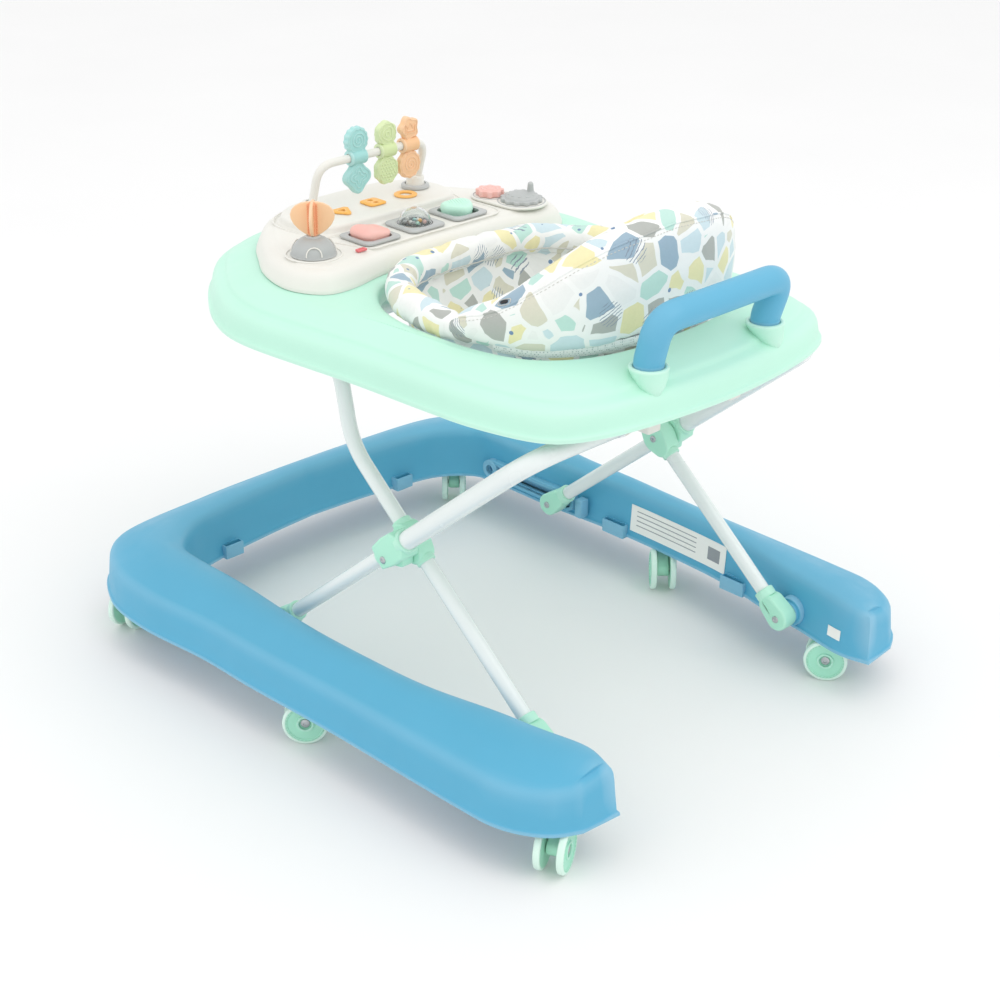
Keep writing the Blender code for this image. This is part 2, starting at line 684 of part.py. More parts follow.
def sliders():
    """Disc and key that run in the base slot, pinned to the slider foot."""
    x = SLIDER_X
    face = x + 4 * MM
    disc = cylinder_between("slider_left", at_x(FOOT_A, x + GAP), at_x(FOOT_A, face), 13 * MM,
                            "fitting_mint", at_x(FOOT_A, 0))
    key_low = (face - MM, FOOT_A.y - 8 * MM, FOOT_A.z - SLOT_HALF_HEIGHT + GAP)
    key_high = (INNER_WALL_X + 6 * MM, FOOT_A.y + 8 * MM, FOOT_A.z + SLOT_HALF_HEIGHT - GAP)
    boolean(disc, box("slider_key", key_low, key_high), "UNION")
    pin = cylinder_between("slider_pin", at_x(FOOT_A, x + MM), at_x(FOOT_A, ARM_A_X + 0.5 * MM),
                           SLIDER_PIN_RADIUS)
    boolean(disc, pin, "UNION")
    mirrored(disc, "slider_right")


def front_arms():
    """The inboard hoop from the rear feet up to the bar under the tray front, with its fittings."""
    x = ARM_B_X
    elbow = CROSS - DOWN * (ARM_LENGTH * 0.485)
    top = Vector((0, elbow.y - 18 * MM, TRAY_BOTTOM - 12 * MM))
    bar = Vector((0, elbow.y - 70 * MM, TRAY_BOTTOM + 5 * MM))
    corners = [FOOT_B - DOWN * SOCKET, elbow, top, bar]
    left = [at_x(c, x) for c in corners]
    right = [at_x(c, -x) for c in reversed(corners)]
    tube("front_arm_hoop", rounded_route(left + right, 26 * MM, 4), TUBE_RADIUS, "tube_white",
         at_x(FOOT_B, 0))
    half = TUBE_RADIUS + 2.5 * MM
    foot = foot_block("rear_foot_left", FOOT_B, -DOWN, x - half, x + half, 24 * MM)
    pin = cylinder_between("rear_pin", at_x(FOOT_B, x + half - MM), at_x(FOOT_B, x + half + 10 * MM),
                           REAR_PIN_RADIUS)
    boolean(foot, pin, "UNION")
    mirrored(foot, "rear_foot_right")
    outline = hull_outline(circle(yz(CROSS), 17 * MM, 24)
                           + circle(yz(CROSS + DOWN * 12 * MM), 12 * MM, 16)
                           + circle(yz(CROSS - DOWN * 10 * MM), 12 * MM, 16))
    sleeve = side_plate("cross_sleeve_left", outline, x - half, FIT_PLANE_X - GAP, "fitting_mint",
                        at_x(FOOT_B, 0))
    boolean(sleeve, cylinder_between("cross_sleeve_bore", at_x(CROSS - DOWN * 60 * MM, x),
                                     at_x(CROSS + DOWN * 60 * MM, x), TUBE_RADIUS + GAP))
    mirrored(sleeve, "cross_sleeve_right")


# Tray and its fittings

TRAY_PROFILE = (                  # inset from the lip and height, up from the lip
    (0, 0), (0, 4), (2.5, 5), (6, 22), (11, 28), (20, 31.5), (23, 35), (32, 40), (52, 45),
)
TRAY_POINTS = 44


def tray_outline():
    w, front, rear = TRAY_HALF_WIDTH, TRAY_FRONT, TRAY_REAR
    half = [(0, front), (w - 168 * MM, front + 5 * MM), (w - 96 * MM, front + 40 * MM),
            (w - 38 * MM, front + 112 * MM), (w - 8 * MM, front + 172 * MM), (w, front + 222 * MM),
            (w - 6 * MM, front + 300 * MM), (w - 13 * MM, rear - 274 * MM), (w - 18 * MM, rear - 180 * MM),
            (w - 24 * MM, rear - 115 * MM), (w - 46 * MM, rear - 46 * MM), (w - 89 * MM, rear - 20 * MM),
            (w - 145 * MM, rear - 8 * MM), (w - 200 * MM, rear - 2 * MM), (0, rear)]
    return symmetric_outline(half, TRAY_POINTS)


def opening_outline(inset=0.0, count=TRAY_POINTS):
    w, front, rear = OPENING_HALF_WIDTH - inset, OPENING_FRONT + inset, OPENING_REAR - inset
    half = [(0, front), (w - 95 * MM, front + 2 * MM), (w - 50 * MM, front + 20 * MM),
            (w - 18 * MM, front + 58 * MM), (w - 2 * MM, front + 108 * MM), (w, front + 168 * MM),
            (w - 6 * MM, rear - 90 * MM), (w - 25 * MM, rear - 45 * MM), (w - 65 * MM, rear - 15 * MM),
            (w - 115 * MM, rear - 2 * MM), (0, rear)]
    return symmetric_outline(half, count)


def raised(ring, z):
    return [Vector((p.x, p.y, z)) for p in ring]


def tray():
    loop = tray_outline()
    rings = [raised(offset_loop(loop, lambda i: inset * MM), TRAY_BOTTOM + up / 45 * TRAY_HEIGHT)
             for inset, up in TRAY_PROFILE]
    rings.append(raised(opening_outline(-6 * MM), TRAY_TOP))
    rings.append(raised(opening_outline(-1 * MM), TRAY_TOP - 2 * MM))
    rings.append(raised(opening_outline(0), TRAY_TOP - 18 * MM))
    shell = finish("tray", skin(rings), "mint", TRAY_HINGE)
    solidify(shell, TRAY_WALL)
    return shell


CLIP_DROP = 7 * MM                # the rear clips stop under the tray's sloping edge


def tray_fittings():
    top = TRAY_TOP - TRAY_WALL - 3.5 * MM
    x, y, z = 60 * MM, TRAY_HINGE.y, TRAY_HINGE.z
    clip_top = top - CLIP_DROP
    clip = box("rear_clip_left", (x - 9 * MM, y - 14 * MM, z - 14 * MM), (x + 9 * MM, y + 14 * MM, clip_top),
               "tube_white", TRAY_HINGE, 1.5 * MM, 1)
    boolean(clip, cylinder_between("clip_bore", (x - 0.02, y, z), (x + 0.02, y, z),
                                   UPPER_TUBE_RADIUS + GAP + 0.1 * MM))
    mirrored(clip, "rear_clip_right")
    rail = box("adjuster_rail_left", (60 * MM, TRAY_FRONT + 95 * MM, top - 9 * MM),
               (76 * MM, OPENING_FRONT - 8 * MM, top), "fitting_mint", TRAY_HINGE, 1.5 * MM, 1)
    mirrored(rail, "adjuster_rail_right")


def push_handle():
    x, y, low = HANDLE_HALF_SPAN, HANDLE_Y, TRAY_TOP + 4 * MM
    high = TRAY_TOP + HANDLE_RISE
    leg = [(x, y, low), (x, y, low + 6 * MM), (x + 2 * MM, y + HANDLE_LEAN, high)]
    corners = leg + [(0, y + HANDLE_LEAN + 4 * MM, high + 2 * MM)] + [(-a, b, c) for a, b, c in reversed(leg)]
    tube("push_handle", rounded_route(corners, 34 * MM, 4), HANDLE_RADIUS, "base_blue", TRAY_HINGE)
    for side in (1, -1):
        profile = [(0, 3.5 * MM), (HANDLE_RADIUS + 2 * MM, 3.5 * MM), (HANDLE_RADIUS + 6 * MM, 0), (0, 0)]
        turned("handle_collar_" + side_name(side), profile, "mint", (side * x, y, TRAY_TOP + GAP),
               pivot=TRAY_HINGE)


# Toy panel

PANEL_PROFILE = ((0, 0), (0, 5), (4, 14), (11, 20), (24, 23))
PLATFORM_Y = (-246 * MM, -146 * MM)
PLATFORM_POINTS = 24


def panel_outline():
    w, front, rear = PANEL_HALF_WIDTH, PANEL_FRONT, PANEL_REAR
    half = [(0, front), (w - 110 * MM, front + 8 * MM), (w - 62 * MM, front + 46 * MM),
            (w - 36 * MM, front + 82 * MM), (w - 12 * MM, front + 122 * MM), (w, rear - 38 * MM),
            (w - 6 * MM, rear - 8 * MM), (w - 24 * MM, rear + 12 * MM), (w - 58 * MM, rear + 12 * MM),
            (w - 94 * MM, rear + 3 * MM), (w - 132 * MM, rear - 1 * MM), (0, rear)]
    return symmetric_outline(half, 40)


def platform_outline(inset=0.0):
    w = PLATFORM_HALF_WIDTH - inset
    front, rear = PLATFORM_Y[0] + inset, PLATFORM_Y[1] - inset
    half = [(0, front), (w - 40 * MM, front + 4 * MM), (w - 8 * MM, front + 24 * MM),
            (w, front + 55 * MM), (w - 8 * MM, rear - 12 * MM), (w - 30 * MM, rear), (0, rear)]
    return symmetric_outline(half, PLATFORM_POINTS)


def toy_panel():
    loop = panel_outline()
    rings = [raised(offset_loop(loop, lambda i: inset * MM), PANEL_BASE + up / 23 * PANEL_HEIGHT)
             for inset, up in PANEL_PROFILE]
    panel = finish("toy_panel", skin(rings, cap=True), "panel_white", TRAY_HINGE)
    solidify(panel, PANEL_WALL)
    edge = 3 * MM
    rings = [raised(platform_outline(), PANEL_TOP - 6 * MM), raised(platform_outline(), PLATFORM_TOP - edge),
             raised(platform_outline(edge), PLATFORM_TOP)]
    platform_bm = skin(rings, cap=True)
    platform_bm.faces.new(list(platform_bm.verts)[:PLATFORM_POINTS][::-1])
    platform = finish("platform", platform_bm, "panel_white")
    boolean(panel, platform, "UNION")
    hollow_bm = skin([raised(platform_outline(PANEL_WALL), PANEL_TOP - 12 * MM),
                      raised(platform_outline(PANEL_WALL), PLATFORM_TOP - PANEL_WALL)], cap=True)
    hollow_bm.faces.new(list(hollow_bm.verts)[:PLATFORM_POINTS][::-1])
    boolean(panel, finish("platform_hollow", hollow_bm, "panel_white"))
    for side in (1, -1):
        x = side * BEZEL_PITCH
        half = BUTTON_SIZE / 2 + 2 * MM
        well = box("button_well_" + side_name(side), (x - half, BEZEL_Y - half, PANEL_TOP - 10 * MM),
                   (x + half, BEZEL_Y + half, PANEL_TOP + 10 * MM))
        boolean(panel, well)
    return panel


def rounded_square(size, corner, sides=4):
    half = size / 2 - corner
    points = []
    for quarter, (sx, sy) in enumerate(((1, 1), (-1, 1), (-1, -1), (1, -1))):
        for k in range(sides + 1):
            angle = math.pi / 2 * (quarter + k / sides)
            points.append((sx * half + corner * math.cos(angle), sy * half + corner * math.sin(angle)))
    return points


def flat(x, y, z):
    return Matrix.Translation((x, y, z))


def bezels_and_buttons():
    names = {1: "left", 0: "middle", -1: "right"}
    low = PANEL_TOP + GAP
    for step, tag in names.items():
        x = step * BEZEL_PITCH
        centre = flat(x, BEZEL_Y, low + BEZEL_THICKNESS / 2)
        frame = plate("bezel_" + tag, rounded_square(BEZEL_SIZE, 9 * MM), BEZEL_THICKNESS, centre, "grey",
                      TRAY_HINGE)
        if step:
            hole = plate("bezel_hole_" + tag, rounded_square(BUTTON_SIZE + 1.2 * MM, 8 * MM), 20 * MM, centre,
                         "grey")
            boolean(frame, hole)
    z = low + BEZEL_THICKNESS
    soft = rounded_square(BUTTON_SIZE, 9 * MM)
    for tag, step, colour in (("wave_button", 1, "pink"), ("heart_button", -1, "mint")):
        x = step * BEZEL_PITCH
        rings = []
        for inset, up in ((0, -5), (0, 3), (2, 6), (6, 8.5), (11, 9.5)):
            shrink = 1 - 2 * inset * MM / BUTTON_SIZE
            rings.append([Vector((x + px * shrink, BEZEL_Y + py * shrink, z + up * MM)) for px, py in soft])
        bm = skin(rings, cap=True)
        bm.faces.new(list(bm.verts)[:len(soft)][::-1])
        finish(tag, bm, colour, (x, BEZEL_Y, z))
    radius = 17 * MM
    profile = [(0, radius * 0.95)]
    profile += [(radius * math.sin(a), radius * 0.95 * math.cos(a)) for a in
                (math.radians(d) for d in (20, 40, 60, 80))]
    profile += [(radius, 0), (radius - 1.5 * MM, 0)]
    profile += [((radius - 1.5 * MM) * math.sin(a), (radius - 1.5 * MM) * 0.95 * math.cos(a)) for a in
                (math.radians(d) for d in (75, 50, 25))]
    profile += [(0, (radius - 1.5 * MM) * 0.95)]
    turned("rattle_dome", profile, "clear", (0, BEZEL_Y, z + GAP), steps=18, pivot=TRAY_HINGE)


def spinner():
    x, y, low = 141 * MM, -113 * MM, PANEL_TOP + GAP
    base = [(0, 19 * MM), (10 * MM, 18 * MM), (17 * MM, 14 * MM), (22 * MM, 7 * MM), (24 * MM, 0), (0, 0)]
    turned("spinner_base", base, "grey", (x, y, low), pivot=TRAY_HINGE)
    z = low + 19 * MM + GAP
    hub = cylinder_between("spinner", (x, y, z), (x, y, z + 36 * MM), 4 * MM, "orange", (x, y, z), 12)
    for k in range(2):
        outline = [(-7, 0), (7, 0), (15, 6), (21, 14), (23, 20), (20, 27), (13, 33), (4, 36),
                   (-4, 36), (-13, 33), (-20, 27), (-23, 20), (-21, 14), (-15, 6)]
        stand = Matrix.Rotation(math.radians(45 + 90 * k), 4, "Z") @ Matrix.Rotation(math.pi / 2, 4, "X")
        vane = plate(f"spinner_vane_{k}", [(a * MM, b * MM) for a, b in outline], 3 * MM,
                     flat(x, y, z) @ stand, "orange")
        boolean(hub, vane, "UNION")


def gear_outline(radius, depth, teeth):
    points = []
    for k in range(teeth * 4):
        reach = radius if k % 4 in (0, 1) else radius - depth
        points.append((reach * math.cos(math.tau * k / (teeth * 4)), reach * math.sin(math.tau * k / (teeth * 4))))
    return points


GEAR_RADIUS = 24 * MM
PINION_RADIUS = 16 * MM
GEAR_TEETH, PINION_TEETH = 12, 8


def gears():
    low = PANEL_TOP + GAP
    big = Vector((-140 * MM, -92 * MM))
    small = big + Vector((10 * MM, -38 * MM)).normalized() * (GEAR_RADIUS + PINION_RADIUS + MM)
    outline = hull_outline(circle(big, GEAR_RADIUS + 5 * MM, 28) + circle(small, PINION_RADIUS + 5 * MM, 22))
    plate("gear_base", outline, 3 * MM, flat(0, 0, low + 1.5 * MM), "panel_white", TRAY_HINGE)
    z = low + 3 * MM + GAP
    knob_place = Vector((big.x, big.y, z))
    knob = turned("gear_knob", [(0, 9 * MM), (14 * MM, 9 * MM), (22 * MM, 6 * MM), (GEAR_RADIUS, 4 * MM),
                                (GEAR_RADIUS, 0), (0, 0)], "grey", knob_place, pivot=knob_place)
    grip = cylinder_between("knob_grip", (big.x - 10 * MM, big.y + 4 * MM, z + 5 * MM),
                            (big.x - 10 * MM, big.y + 4 * MM, z + 20 * MM), 4 * MM, sides=12,
                            end_radius=3 * MM)
    boolean(knob, grip, "UNION")
    pinion_place = Vector((small.x, small.y, z))
    plate("gear_pinion", gear_outline(PINION_RADIUS, 2 * MM, PINION_TEETH), 7 * MM,
          flat(small.x, small.y, z + 3.5 * MM), "pink", pinion_place)


def toy_bar():
    """Hooped bar on two posts with three turning charms."""
    span, y, foot = TOY_BAR_HALF_SPAN, -197 * MM, PLATFORM_TOP
    top = foot + TOY_BAR_RISE
    lean = 17 * MM

    def along(x, rise):
        return Vector((x, y + lean * rise / TOY_BAR_RISE, foot + rise))
    for side in (1, -1):
        profile = [(0, 14 * MM), (8 * MM, 14 * MM), (10 * MM, 12 * MM), (10 * MM, 4 * MM), (14 * MM, 2 * MM),
                   (14 * MM, 0), (0, 0)]
        post = turned("bar_post_" + side_name(side), profile, "panel_white", (side * span, y, foot + GAP),
                      steps=20, pivot=TRAY_HINGE)
        bore = cylinder_between("post_bore_" + side_name(side), along(side * span, 6 * MM),
                                along(side * span, 30 * MM), TOY_BAR_RADIUS + GAP)
        boolean(post, bore)
    corners = [along(span, 7 * MM), (span, y + lean, top), (-span, y + lean, top), along(-span, 7 * MM)]
    tube("toy_bar", rounded_route(corners, 16 * MM), TOY_BAR_RADIUS, "tube_white", TRAY_HINGE)
    axis = Vector((0, y + lean, top))
    for tag, x, colour, shape in CHARMS:
        charm(tag, Vector((x, axis.y, axis.z)), colour, shape)


CHARMS = (
    ("charm_flower", 24 * MM, "teal", ((15, 9, 0.10), (17, 6, 0.12))),
    ("charm_dots", -18 * MM, "lime", ((14, 8, 0.06), (15.5, 8, 0.08))),
    ("charm_spiral", -51 * MM, "orange", ((12, 5, 0.16), (15, 10, 0.05))),
)


def lobed_circle(centre_z, radius, lobes, depth, sides=20):
    points = []
    for k in range(sides):
        angle = math.tau * k / sides
        reach = radius * (1 + depth * math.cos(lobes * angle))
        points.append((reach * math.cos(angle), centre_z + reach * math.sin(angle)))
    return points


def charm(name, centre, colour, shape):
    """Two lobed plates joined by the sleeve that turns on the bar."""
    sleeve = cylinder_between(name, centre - Vector((11 * MM, 0, 0)), centre + Vector((11 * MM, 0, 0)),
                              8 * MM, colour, centre, 20)
    (top_radius, top_lobes, top_depth), (low_radius, low_lobes, low_depth) = shape
    stand = Matrix.Translation(centre) @ Matrix.Rotation(math.pi / 2, 4, "X")
    top = plate(name + "_top", lobed_circle(18 * MM, top_radius * MM, top_lobes, top_depth), CHARM_THICKNESS,
                stand, colour)
    low = plate(name + "_low", lobed_circle(-22 * MM, low_radius * MM, low_lobes, low_depth), CHARM_THICKNESS,
                stand, colour)
    boolean(sleeve, top, "UNION")
    boolean(sleeve, low, "UNION")
    boolean(sleeve, cylinder_between(name + "_bore", centre - Vector((0.03, 0, 0)), centre + Vector((0.03, 0, 0)),
                                     TOY_BAR_RADIUS + 0.5 * MM, sides=12))


def switch_and_shapes():
    low = PLATFORM_TOP + GAP
    triangle = [(-13 * MM, -10 * MM), (13 * MM, -10 * MM), (3 * MM, 13 * MM), (-3 * MM, 13 * MM)]
    plate("shape_triangle", triangle, 2 * MM, flat(46 * MM, -180 * MM, low + MM), "yellow", TRAY_HINGE)
    plate("shape_square", rounded_square(23 * MM, 5 * MM), 2 * MM, flat(0, -182 * MM, low + MM), "yellow",
          TRAY_HINGE)
    ring = plate("shape_ring", circle((0, 0), 13 * MM, 24), 2 * MM, flat(-46 * MM, -180 * MM, low + MM),
                 "yellow", TRAY_HINGE)
    boolean(ring, cylinder_between("ring_hole", (-46 * MM, -180 * MM, low - 0.01),
                                   (-46 * MM, -180 * MM, low + 0.02), 7 * MM))
    x, y = 100 * MM, -86 * MM
    box("slide_switch", (x - 6 * MM, y - 3 * MM, PANEL_TOP + GAP), (x + 6 * MM, y + 3 * MM, PANEL_TOP + 3 * MM),
        "red", (x, y, PANEL_TOP), 0.8 * MM, 1)


# Seat

def seat():
    inset = ROLL_RADIUS + 1.5 * MM
    roll_z = TRAY_TOP + 9 * MM
    loop = raised(opening_outline(inset, 36), roll_z)
    curve = bpy.data.curves.new("seat_roll", "CURVE")
    curve.dimensions = "3D"
    curve.bevel_depth = ROLL_RADIUS
    curve.bevel_resolution = 1
    spline = curve.splines.new("POLY")
    spline.points.add(len(loop) - 1)
    for point, place in zip(spline.points, loop):
        point.co = (*place, 1)
    spline.use_cyclic_u = True
    obj = bpy.data.objects.new("seat_roll", curve)
    PARTS.objects.link(obj)
    finish("seat_roll", as_bmesh(obj), "fabric", TRAY_HINGE)
    seat_back(inset)
    seat_sling(inset)


def seat_back(inset):
    """Wrap-round padded back: a wall that rises from the roll, highest at the rear."""
    outer = [p for p in opening_outline(inset + ROLL_RADIUS - 4 * MM, 80) if p.y > OPENING_REAR - 125 * MM]
    outer.sort(key=lambda p: math.atan2(p.x, p.y - 60 * MM))
    inner = []
    for p in outer:
        centre = Vector((0, OPENING_REAR - 160 * MM, 0))
        inner.append(p + (centre - p).normalized() * BACK_THICKNESS)
    low = TRAY_TOP + 9 * MM + ROLL_RADIUS + MM
    bm = bmesh.new()
    rows = []
    total = len(outer)
    for k, (a, b) in enumerate(zip(outer, inner)):
        along = k / (total - 1)
        rise = min(1.0, math.sin(math.pi * along) * 1.9) ** 0.8
        high = low + 12 * MM + (BACK_HEIGHT - 12 * MM) * rise
        rows.append([bm.verts.new((a.x, a.y, low)), bm.verts.new((a.x, a.y, high)),
                     bm.verts.new((b.x, b.y, high)), bm.verts.new((b.x, b.y, low))])
    for one, two in zip(rows, rows[1:]):
        for k in range(4):
            bm.faces.new((one[k], one[(k + 1) % 4], two[(k + 1) % 4], two[k]))
    bm.faces.new(rows[0][::-1])
    bm.faces.new(rows[-1])
    bmesh.ops.recalc_face_normals(bm, faces=bm.faces)
    finish("seat_back", bm, "fabric", TRAY_HINGE)


def seat_sling(inset):
    """Hanging fabric bowl with two leg holes."""
    top = TRAY_TOP - 4 * MM
    rings = []
    for share, drop in ((1.0, 0), (0.95, 0.3), (0.82, 0.65), (0.56, 0.92), (0.25, 1.0)):
        ring = opening_outline(inset + 2 * MM, 28)
        centre_y = OPENING_FRONT + (OPENING_REAR - OPENING_FRONT) * 0.55
        rings.append([Vector((p.x * share, centre_y + (p.y - centre_y) * share, top - SLING_DEPTH * drop))
                      for p in ring])
    sling = finish("seat_sling", skin([ring[::-1] for ring in rings], cap=True), "fabric", TRAY_HINGE)
    solidify(sling, SLING_THICKNESS)
    for side in (1, -1):
        centre = Vector((side * 68 * MM, 30 * MM, top - SLING_DEPTH * 0.98))
        hole = cylinder_between("leg_hole_" + side_name(side), centre - Vector((0, 0, 0.06)),
                                centre + Vector((0, 0, 0.06)), 42 * MM)
        boolean(sling, hole)


def main():
    base_shell()
    for name, (x, y, degrees) in CASTERS.items():
        caster(name, x, y, degrees)
    slider_arms()
    sliders()
    front_arms()
    tray()
    tray_fittings()
    push_handle()
    toy_panel()
    bezels_and_buttons()
    spinner()
    gears()
    toy_bar()
    switch_and_shapes()
    seat()


clear_scene()
PARTS = new_collection("baby_walker")
CUTTERS = new_collection("cutters")
main()
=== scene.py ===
"""Folding baby walker: its finished pieces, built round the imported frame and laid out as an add-on.

Metres, +Z up, floor at Z = 0. +X is the walker's left side, -Y the toy end and +Y the push handle.
"""
import json
from math import atan2, copysign, cos, hypot, pi, radians, sin, tau
import random
import bpy
import bmesh
from bpy.props import FloatProperty, FloatVectorProperty, IntProperty, PointerProperty
from mathutils import Matrix, Vector
from mathutils.bvhtree import BVHTree
from mathutils.noise import noise


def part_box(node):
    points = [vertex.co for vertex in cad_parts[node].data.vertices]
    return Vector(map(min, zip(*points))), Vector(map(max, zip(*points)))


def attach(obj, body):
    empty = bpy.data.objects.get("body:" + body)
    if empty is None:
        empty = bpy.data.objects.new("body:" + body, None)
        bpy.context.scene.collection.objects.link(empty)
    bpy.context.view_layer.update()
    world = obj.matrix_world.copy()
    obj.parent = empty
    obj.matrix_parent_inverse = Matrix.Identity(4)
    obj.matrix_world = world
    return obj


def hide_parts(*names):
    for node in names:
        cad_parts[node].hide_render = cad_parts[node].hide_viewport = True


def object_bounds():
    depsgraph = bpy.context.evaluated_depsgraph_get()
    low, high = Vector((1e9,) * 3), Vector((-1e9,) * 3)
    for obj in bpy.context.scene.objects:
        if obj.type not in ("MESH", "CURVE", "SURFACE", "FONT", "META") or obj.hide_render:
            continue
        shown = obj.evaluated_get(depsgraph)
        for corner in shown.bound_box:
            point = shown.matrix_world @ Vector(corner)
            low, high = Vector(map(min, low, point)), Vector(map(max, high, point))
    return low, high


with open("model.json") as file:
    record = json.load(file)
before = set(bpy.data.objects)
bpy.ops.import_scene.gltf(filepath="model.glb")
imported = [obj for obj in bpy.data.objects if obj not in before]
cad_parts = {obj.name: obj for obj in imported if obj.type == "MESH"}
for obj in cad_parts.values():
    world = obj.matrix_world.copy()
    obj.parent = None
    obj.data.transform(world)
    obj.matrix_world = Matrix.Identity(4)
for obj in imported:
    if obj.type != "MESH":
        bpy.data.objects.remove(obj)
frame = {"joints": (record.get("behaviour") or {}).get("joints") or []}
cad_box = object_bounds()

bl_info = {
    "name": "Baby Walker",
    "version": (1, 0, 0),
    "blender": (4, 5, 0),
    "location": "3D View > Sidebar > Walker",
    "description": "Builds a folding baby walker round its moving frame",
    "category": "Object",
}

MM = 0.001
JOINTS = {joint["name"]: joint for joint in frame["joints"]}
SIDES = (("left", 1), ("right", -1))
CORNERS = [f"{row}_{side}" for row in ("front", "middle", "rear") for side in ("left", "right")]


def low(node):
    return Vector(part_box(node)[0])


def high(node):
    return Vector(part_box(node)[1])


def middle(node):
    return (low(node) + high(node)) / 2


def joint_place(name):
    return Vector(JOINTS[name]["pos_m"])


FOOT_REAR = joint_place("fold")
CROSS = joint_place("cross")
TRAY_HINGE = joint_place("tray_level")
FOOT_SLIDER = joint_place("slider_level")
UP = (TRAY_HINGE - CROSS).normalized()           # along the slider arm, upwards
DOWN = (FOOT_REAR - CROSS).normalized()          # along the other arm, to its rear foot
TRAY_LOW, TRAY_TOP = low("tray").z, high("tray").z
PANEL_LOW, PLATFORM_TOP = low("toy_panel").z, high("toy_panel").z
PANEL_TOP = PLATFORM_TOP - 9 * MM
BEZEL_TOP = high("bezel_left").z
BASE_LOW, BASE_TOP = low("base_shell").z, high("base_shell").z


# Sizes and colours that a user would change

def srgb(red, green, blue):
    """Linear colour from everyday 0-255 values."""
    return tuple(((c / 255 + 0.055) / 1.055) ** 2.4 if c > 10 else c / 3294.6 for c in (red, green, blue))


def colour(name, description, *rgb):
    return FloatVectorProperty(name=name, description=description, default=srgb(*rgb), size=3,
        min=0, max=1, subtype="COLOR")


def length(name, description, default):
    return FloatProperty(name=name, description=description, default=default, min=0.0001, max=1,
        precision=4, subtype="DISTANCE", unit="LENGTH")


class WalkerColours(bpy.types.PropertyGroup):
    base_blue: colour("Base blue", "Moulded base and push handle", 88, 172, 206)
    tray_mint: colour("Tray mint", "Tray moulding", 190, 237, 217)
    fitting_mint: colour("Fitting mint", "Joints and casters", 170, 232, 206)
    rim_mint: colour("Wheel rim", "Paler ring round each wheel", 214, 244, 230)
    tube_white: colour("Tube white", "Enamel on the steel tubes", 228, 235, 234)
    panel_white: colour("Panel white", "Toy panel moulding", 230, 229, 222)
    toy_grey: colour("Toy grey", "Bezels, dome and knob", 176, 180, 179)
    toy_pink: colour("Toy pink", "Wavy button and small gear", 240, 184, 174)
    toy_orange: colour("Toy orange", "Spinner and one charm", 243, 196, 150)
    toy_teal: colour("Toy teal", "One charm", 162, 216, 213)
    toy_lime: colour("Toy lime", "One charm", 211, 226, 172)
    toy_yellow: colour("Toy yellow", "Flat shapes on the platform", 247, 178, 44)
    toy_red: colour("Toy red", "Slide switch", 226, 78, 84)
    steel: colour("Rivet steel", "Rivets and axle screws", 196, 199, 202)
    cloth: colour("Cloth ground", "Ground of the seat's print", 240, 241, 239)


class WalkerSizes(bpy.types.PropertyGroup):
    base_wall: length("Base wall", "Wall of the base moulding", 3 * MM)
    tray_wall: length("Tray wall", "Wall of the tray moulding", 3 * MM)
    panel_wall: length("Panel wall", "Wall of the toy panel", 2.5 * MM)
    tube_sides: IntProperty(name="Tube sides", description="Faces round each tube", default=28, min=8, max=64)
    rivet_radius: length("Rivet radius", "Heads of the frame's rivets", 4 * MM)
    stitch_length: length("Stitch length", "Each stitch of the seat's seams", 2.6 * MM)
    stitch_pitch: length("Stitch pitch", "From one stitch to the next", 4.2 * MM)
    print_size: length("Print size", "Across one shape of the seat's print", 27 * MM)
    puff: length("Padding rise", "How far the padding may swell", 6 * MM)


def colours():
    return bpy.context.scene.walker_colours


def sizes():
    return bpy.context.scene.walker_sizes


# Materials

def node(tree, kind, inputs=(), **settings):
    """A new node with its inputs set by name or number; a tuple (node, output) makes a link."""
    made = tree.nodes.new(kind)
    for key, value in settings.items():
        setattr(made, key, value)
    for key, value in dict(inputs).items():
        if isinstance(value, bpy.types.NodeSocket):
            tree.links.new(value, made.inputs[key])
        else:
            made.inputs[key].default_value = value
    return made


def new_material(name, colour, roughness):
    made = bpy.data.materials.new(name)
    made.use_nodes = True
    tree = made.node_tree
    shader = tree.nodes["Principled BSDF"]
    shader.inputs["Base Color"].default_value = (*colour, 1)
    shader.inputs["Roughness"].default_value = roughness
    made.diffuse_color = (*colour, 1)
    place = node(tree, "ShaderNodeTexCoord").outputs["Object"]
    return made, tree, shader, place


def noise_of(tree, place, scale, detail=3, roughness=0.5):
    made = node(tree, "ShaderNodeTexNoise", {"Vector": place, "Scale": scale, "Detail": detail,
        "Roughness": roughness})
    return made.outputs["Fac"]


def spread(tree, value, low_out, high_out, low_in=0.0, high_in=1.0):
    made = node(tree, "ShaderNodeMapRange", {"Value": value, "From Min": low_in, "From Max": high_in,
        "To Min": low_out, "To Max": high_out})
    return made.outputs["Result"]


def mixed(tree, factor, first, second):
    made = node(tree, "ShaderNodeMix", data_type="RGBA")
    for socket, value in ((made.inputs[0], factor), (made.inputs[6], first), (made.inputs[7], second)):
        if isinstance(value, bpy.types.NodeSocket):
            tree.links.new(value, socket)
        else:
            socket.default_value = value if isinstance(value, float) else (*value, 1)
    return made.outputs[2]


def shade(colour, factor):
    return tuple(min(1.0, c * factor) for c in colour)


def faded(colour, share):
    return tuple(c + (1 - c) * share for c in colour)


def product(tree, first, second):
    return node(tree, "ShaderNodeMath", {0: first, 1: second}, operation="MULTIPLY").outputs[0]


def picked(tree, cells, channel):
    """One random number for each cell."""
    return node(tree, "ShaderNodeSeparateColor", {"Color": cells.outputs["Color"]}).outputs[channel]


def voronoi(tree, place, scale, randomness=1.0, feature="F1"):
    return node(tree, "ShaderNodeTexVoronoi", {"Vector": place, "Scale": scale, "Randomness": randomness},
        feature=feature)


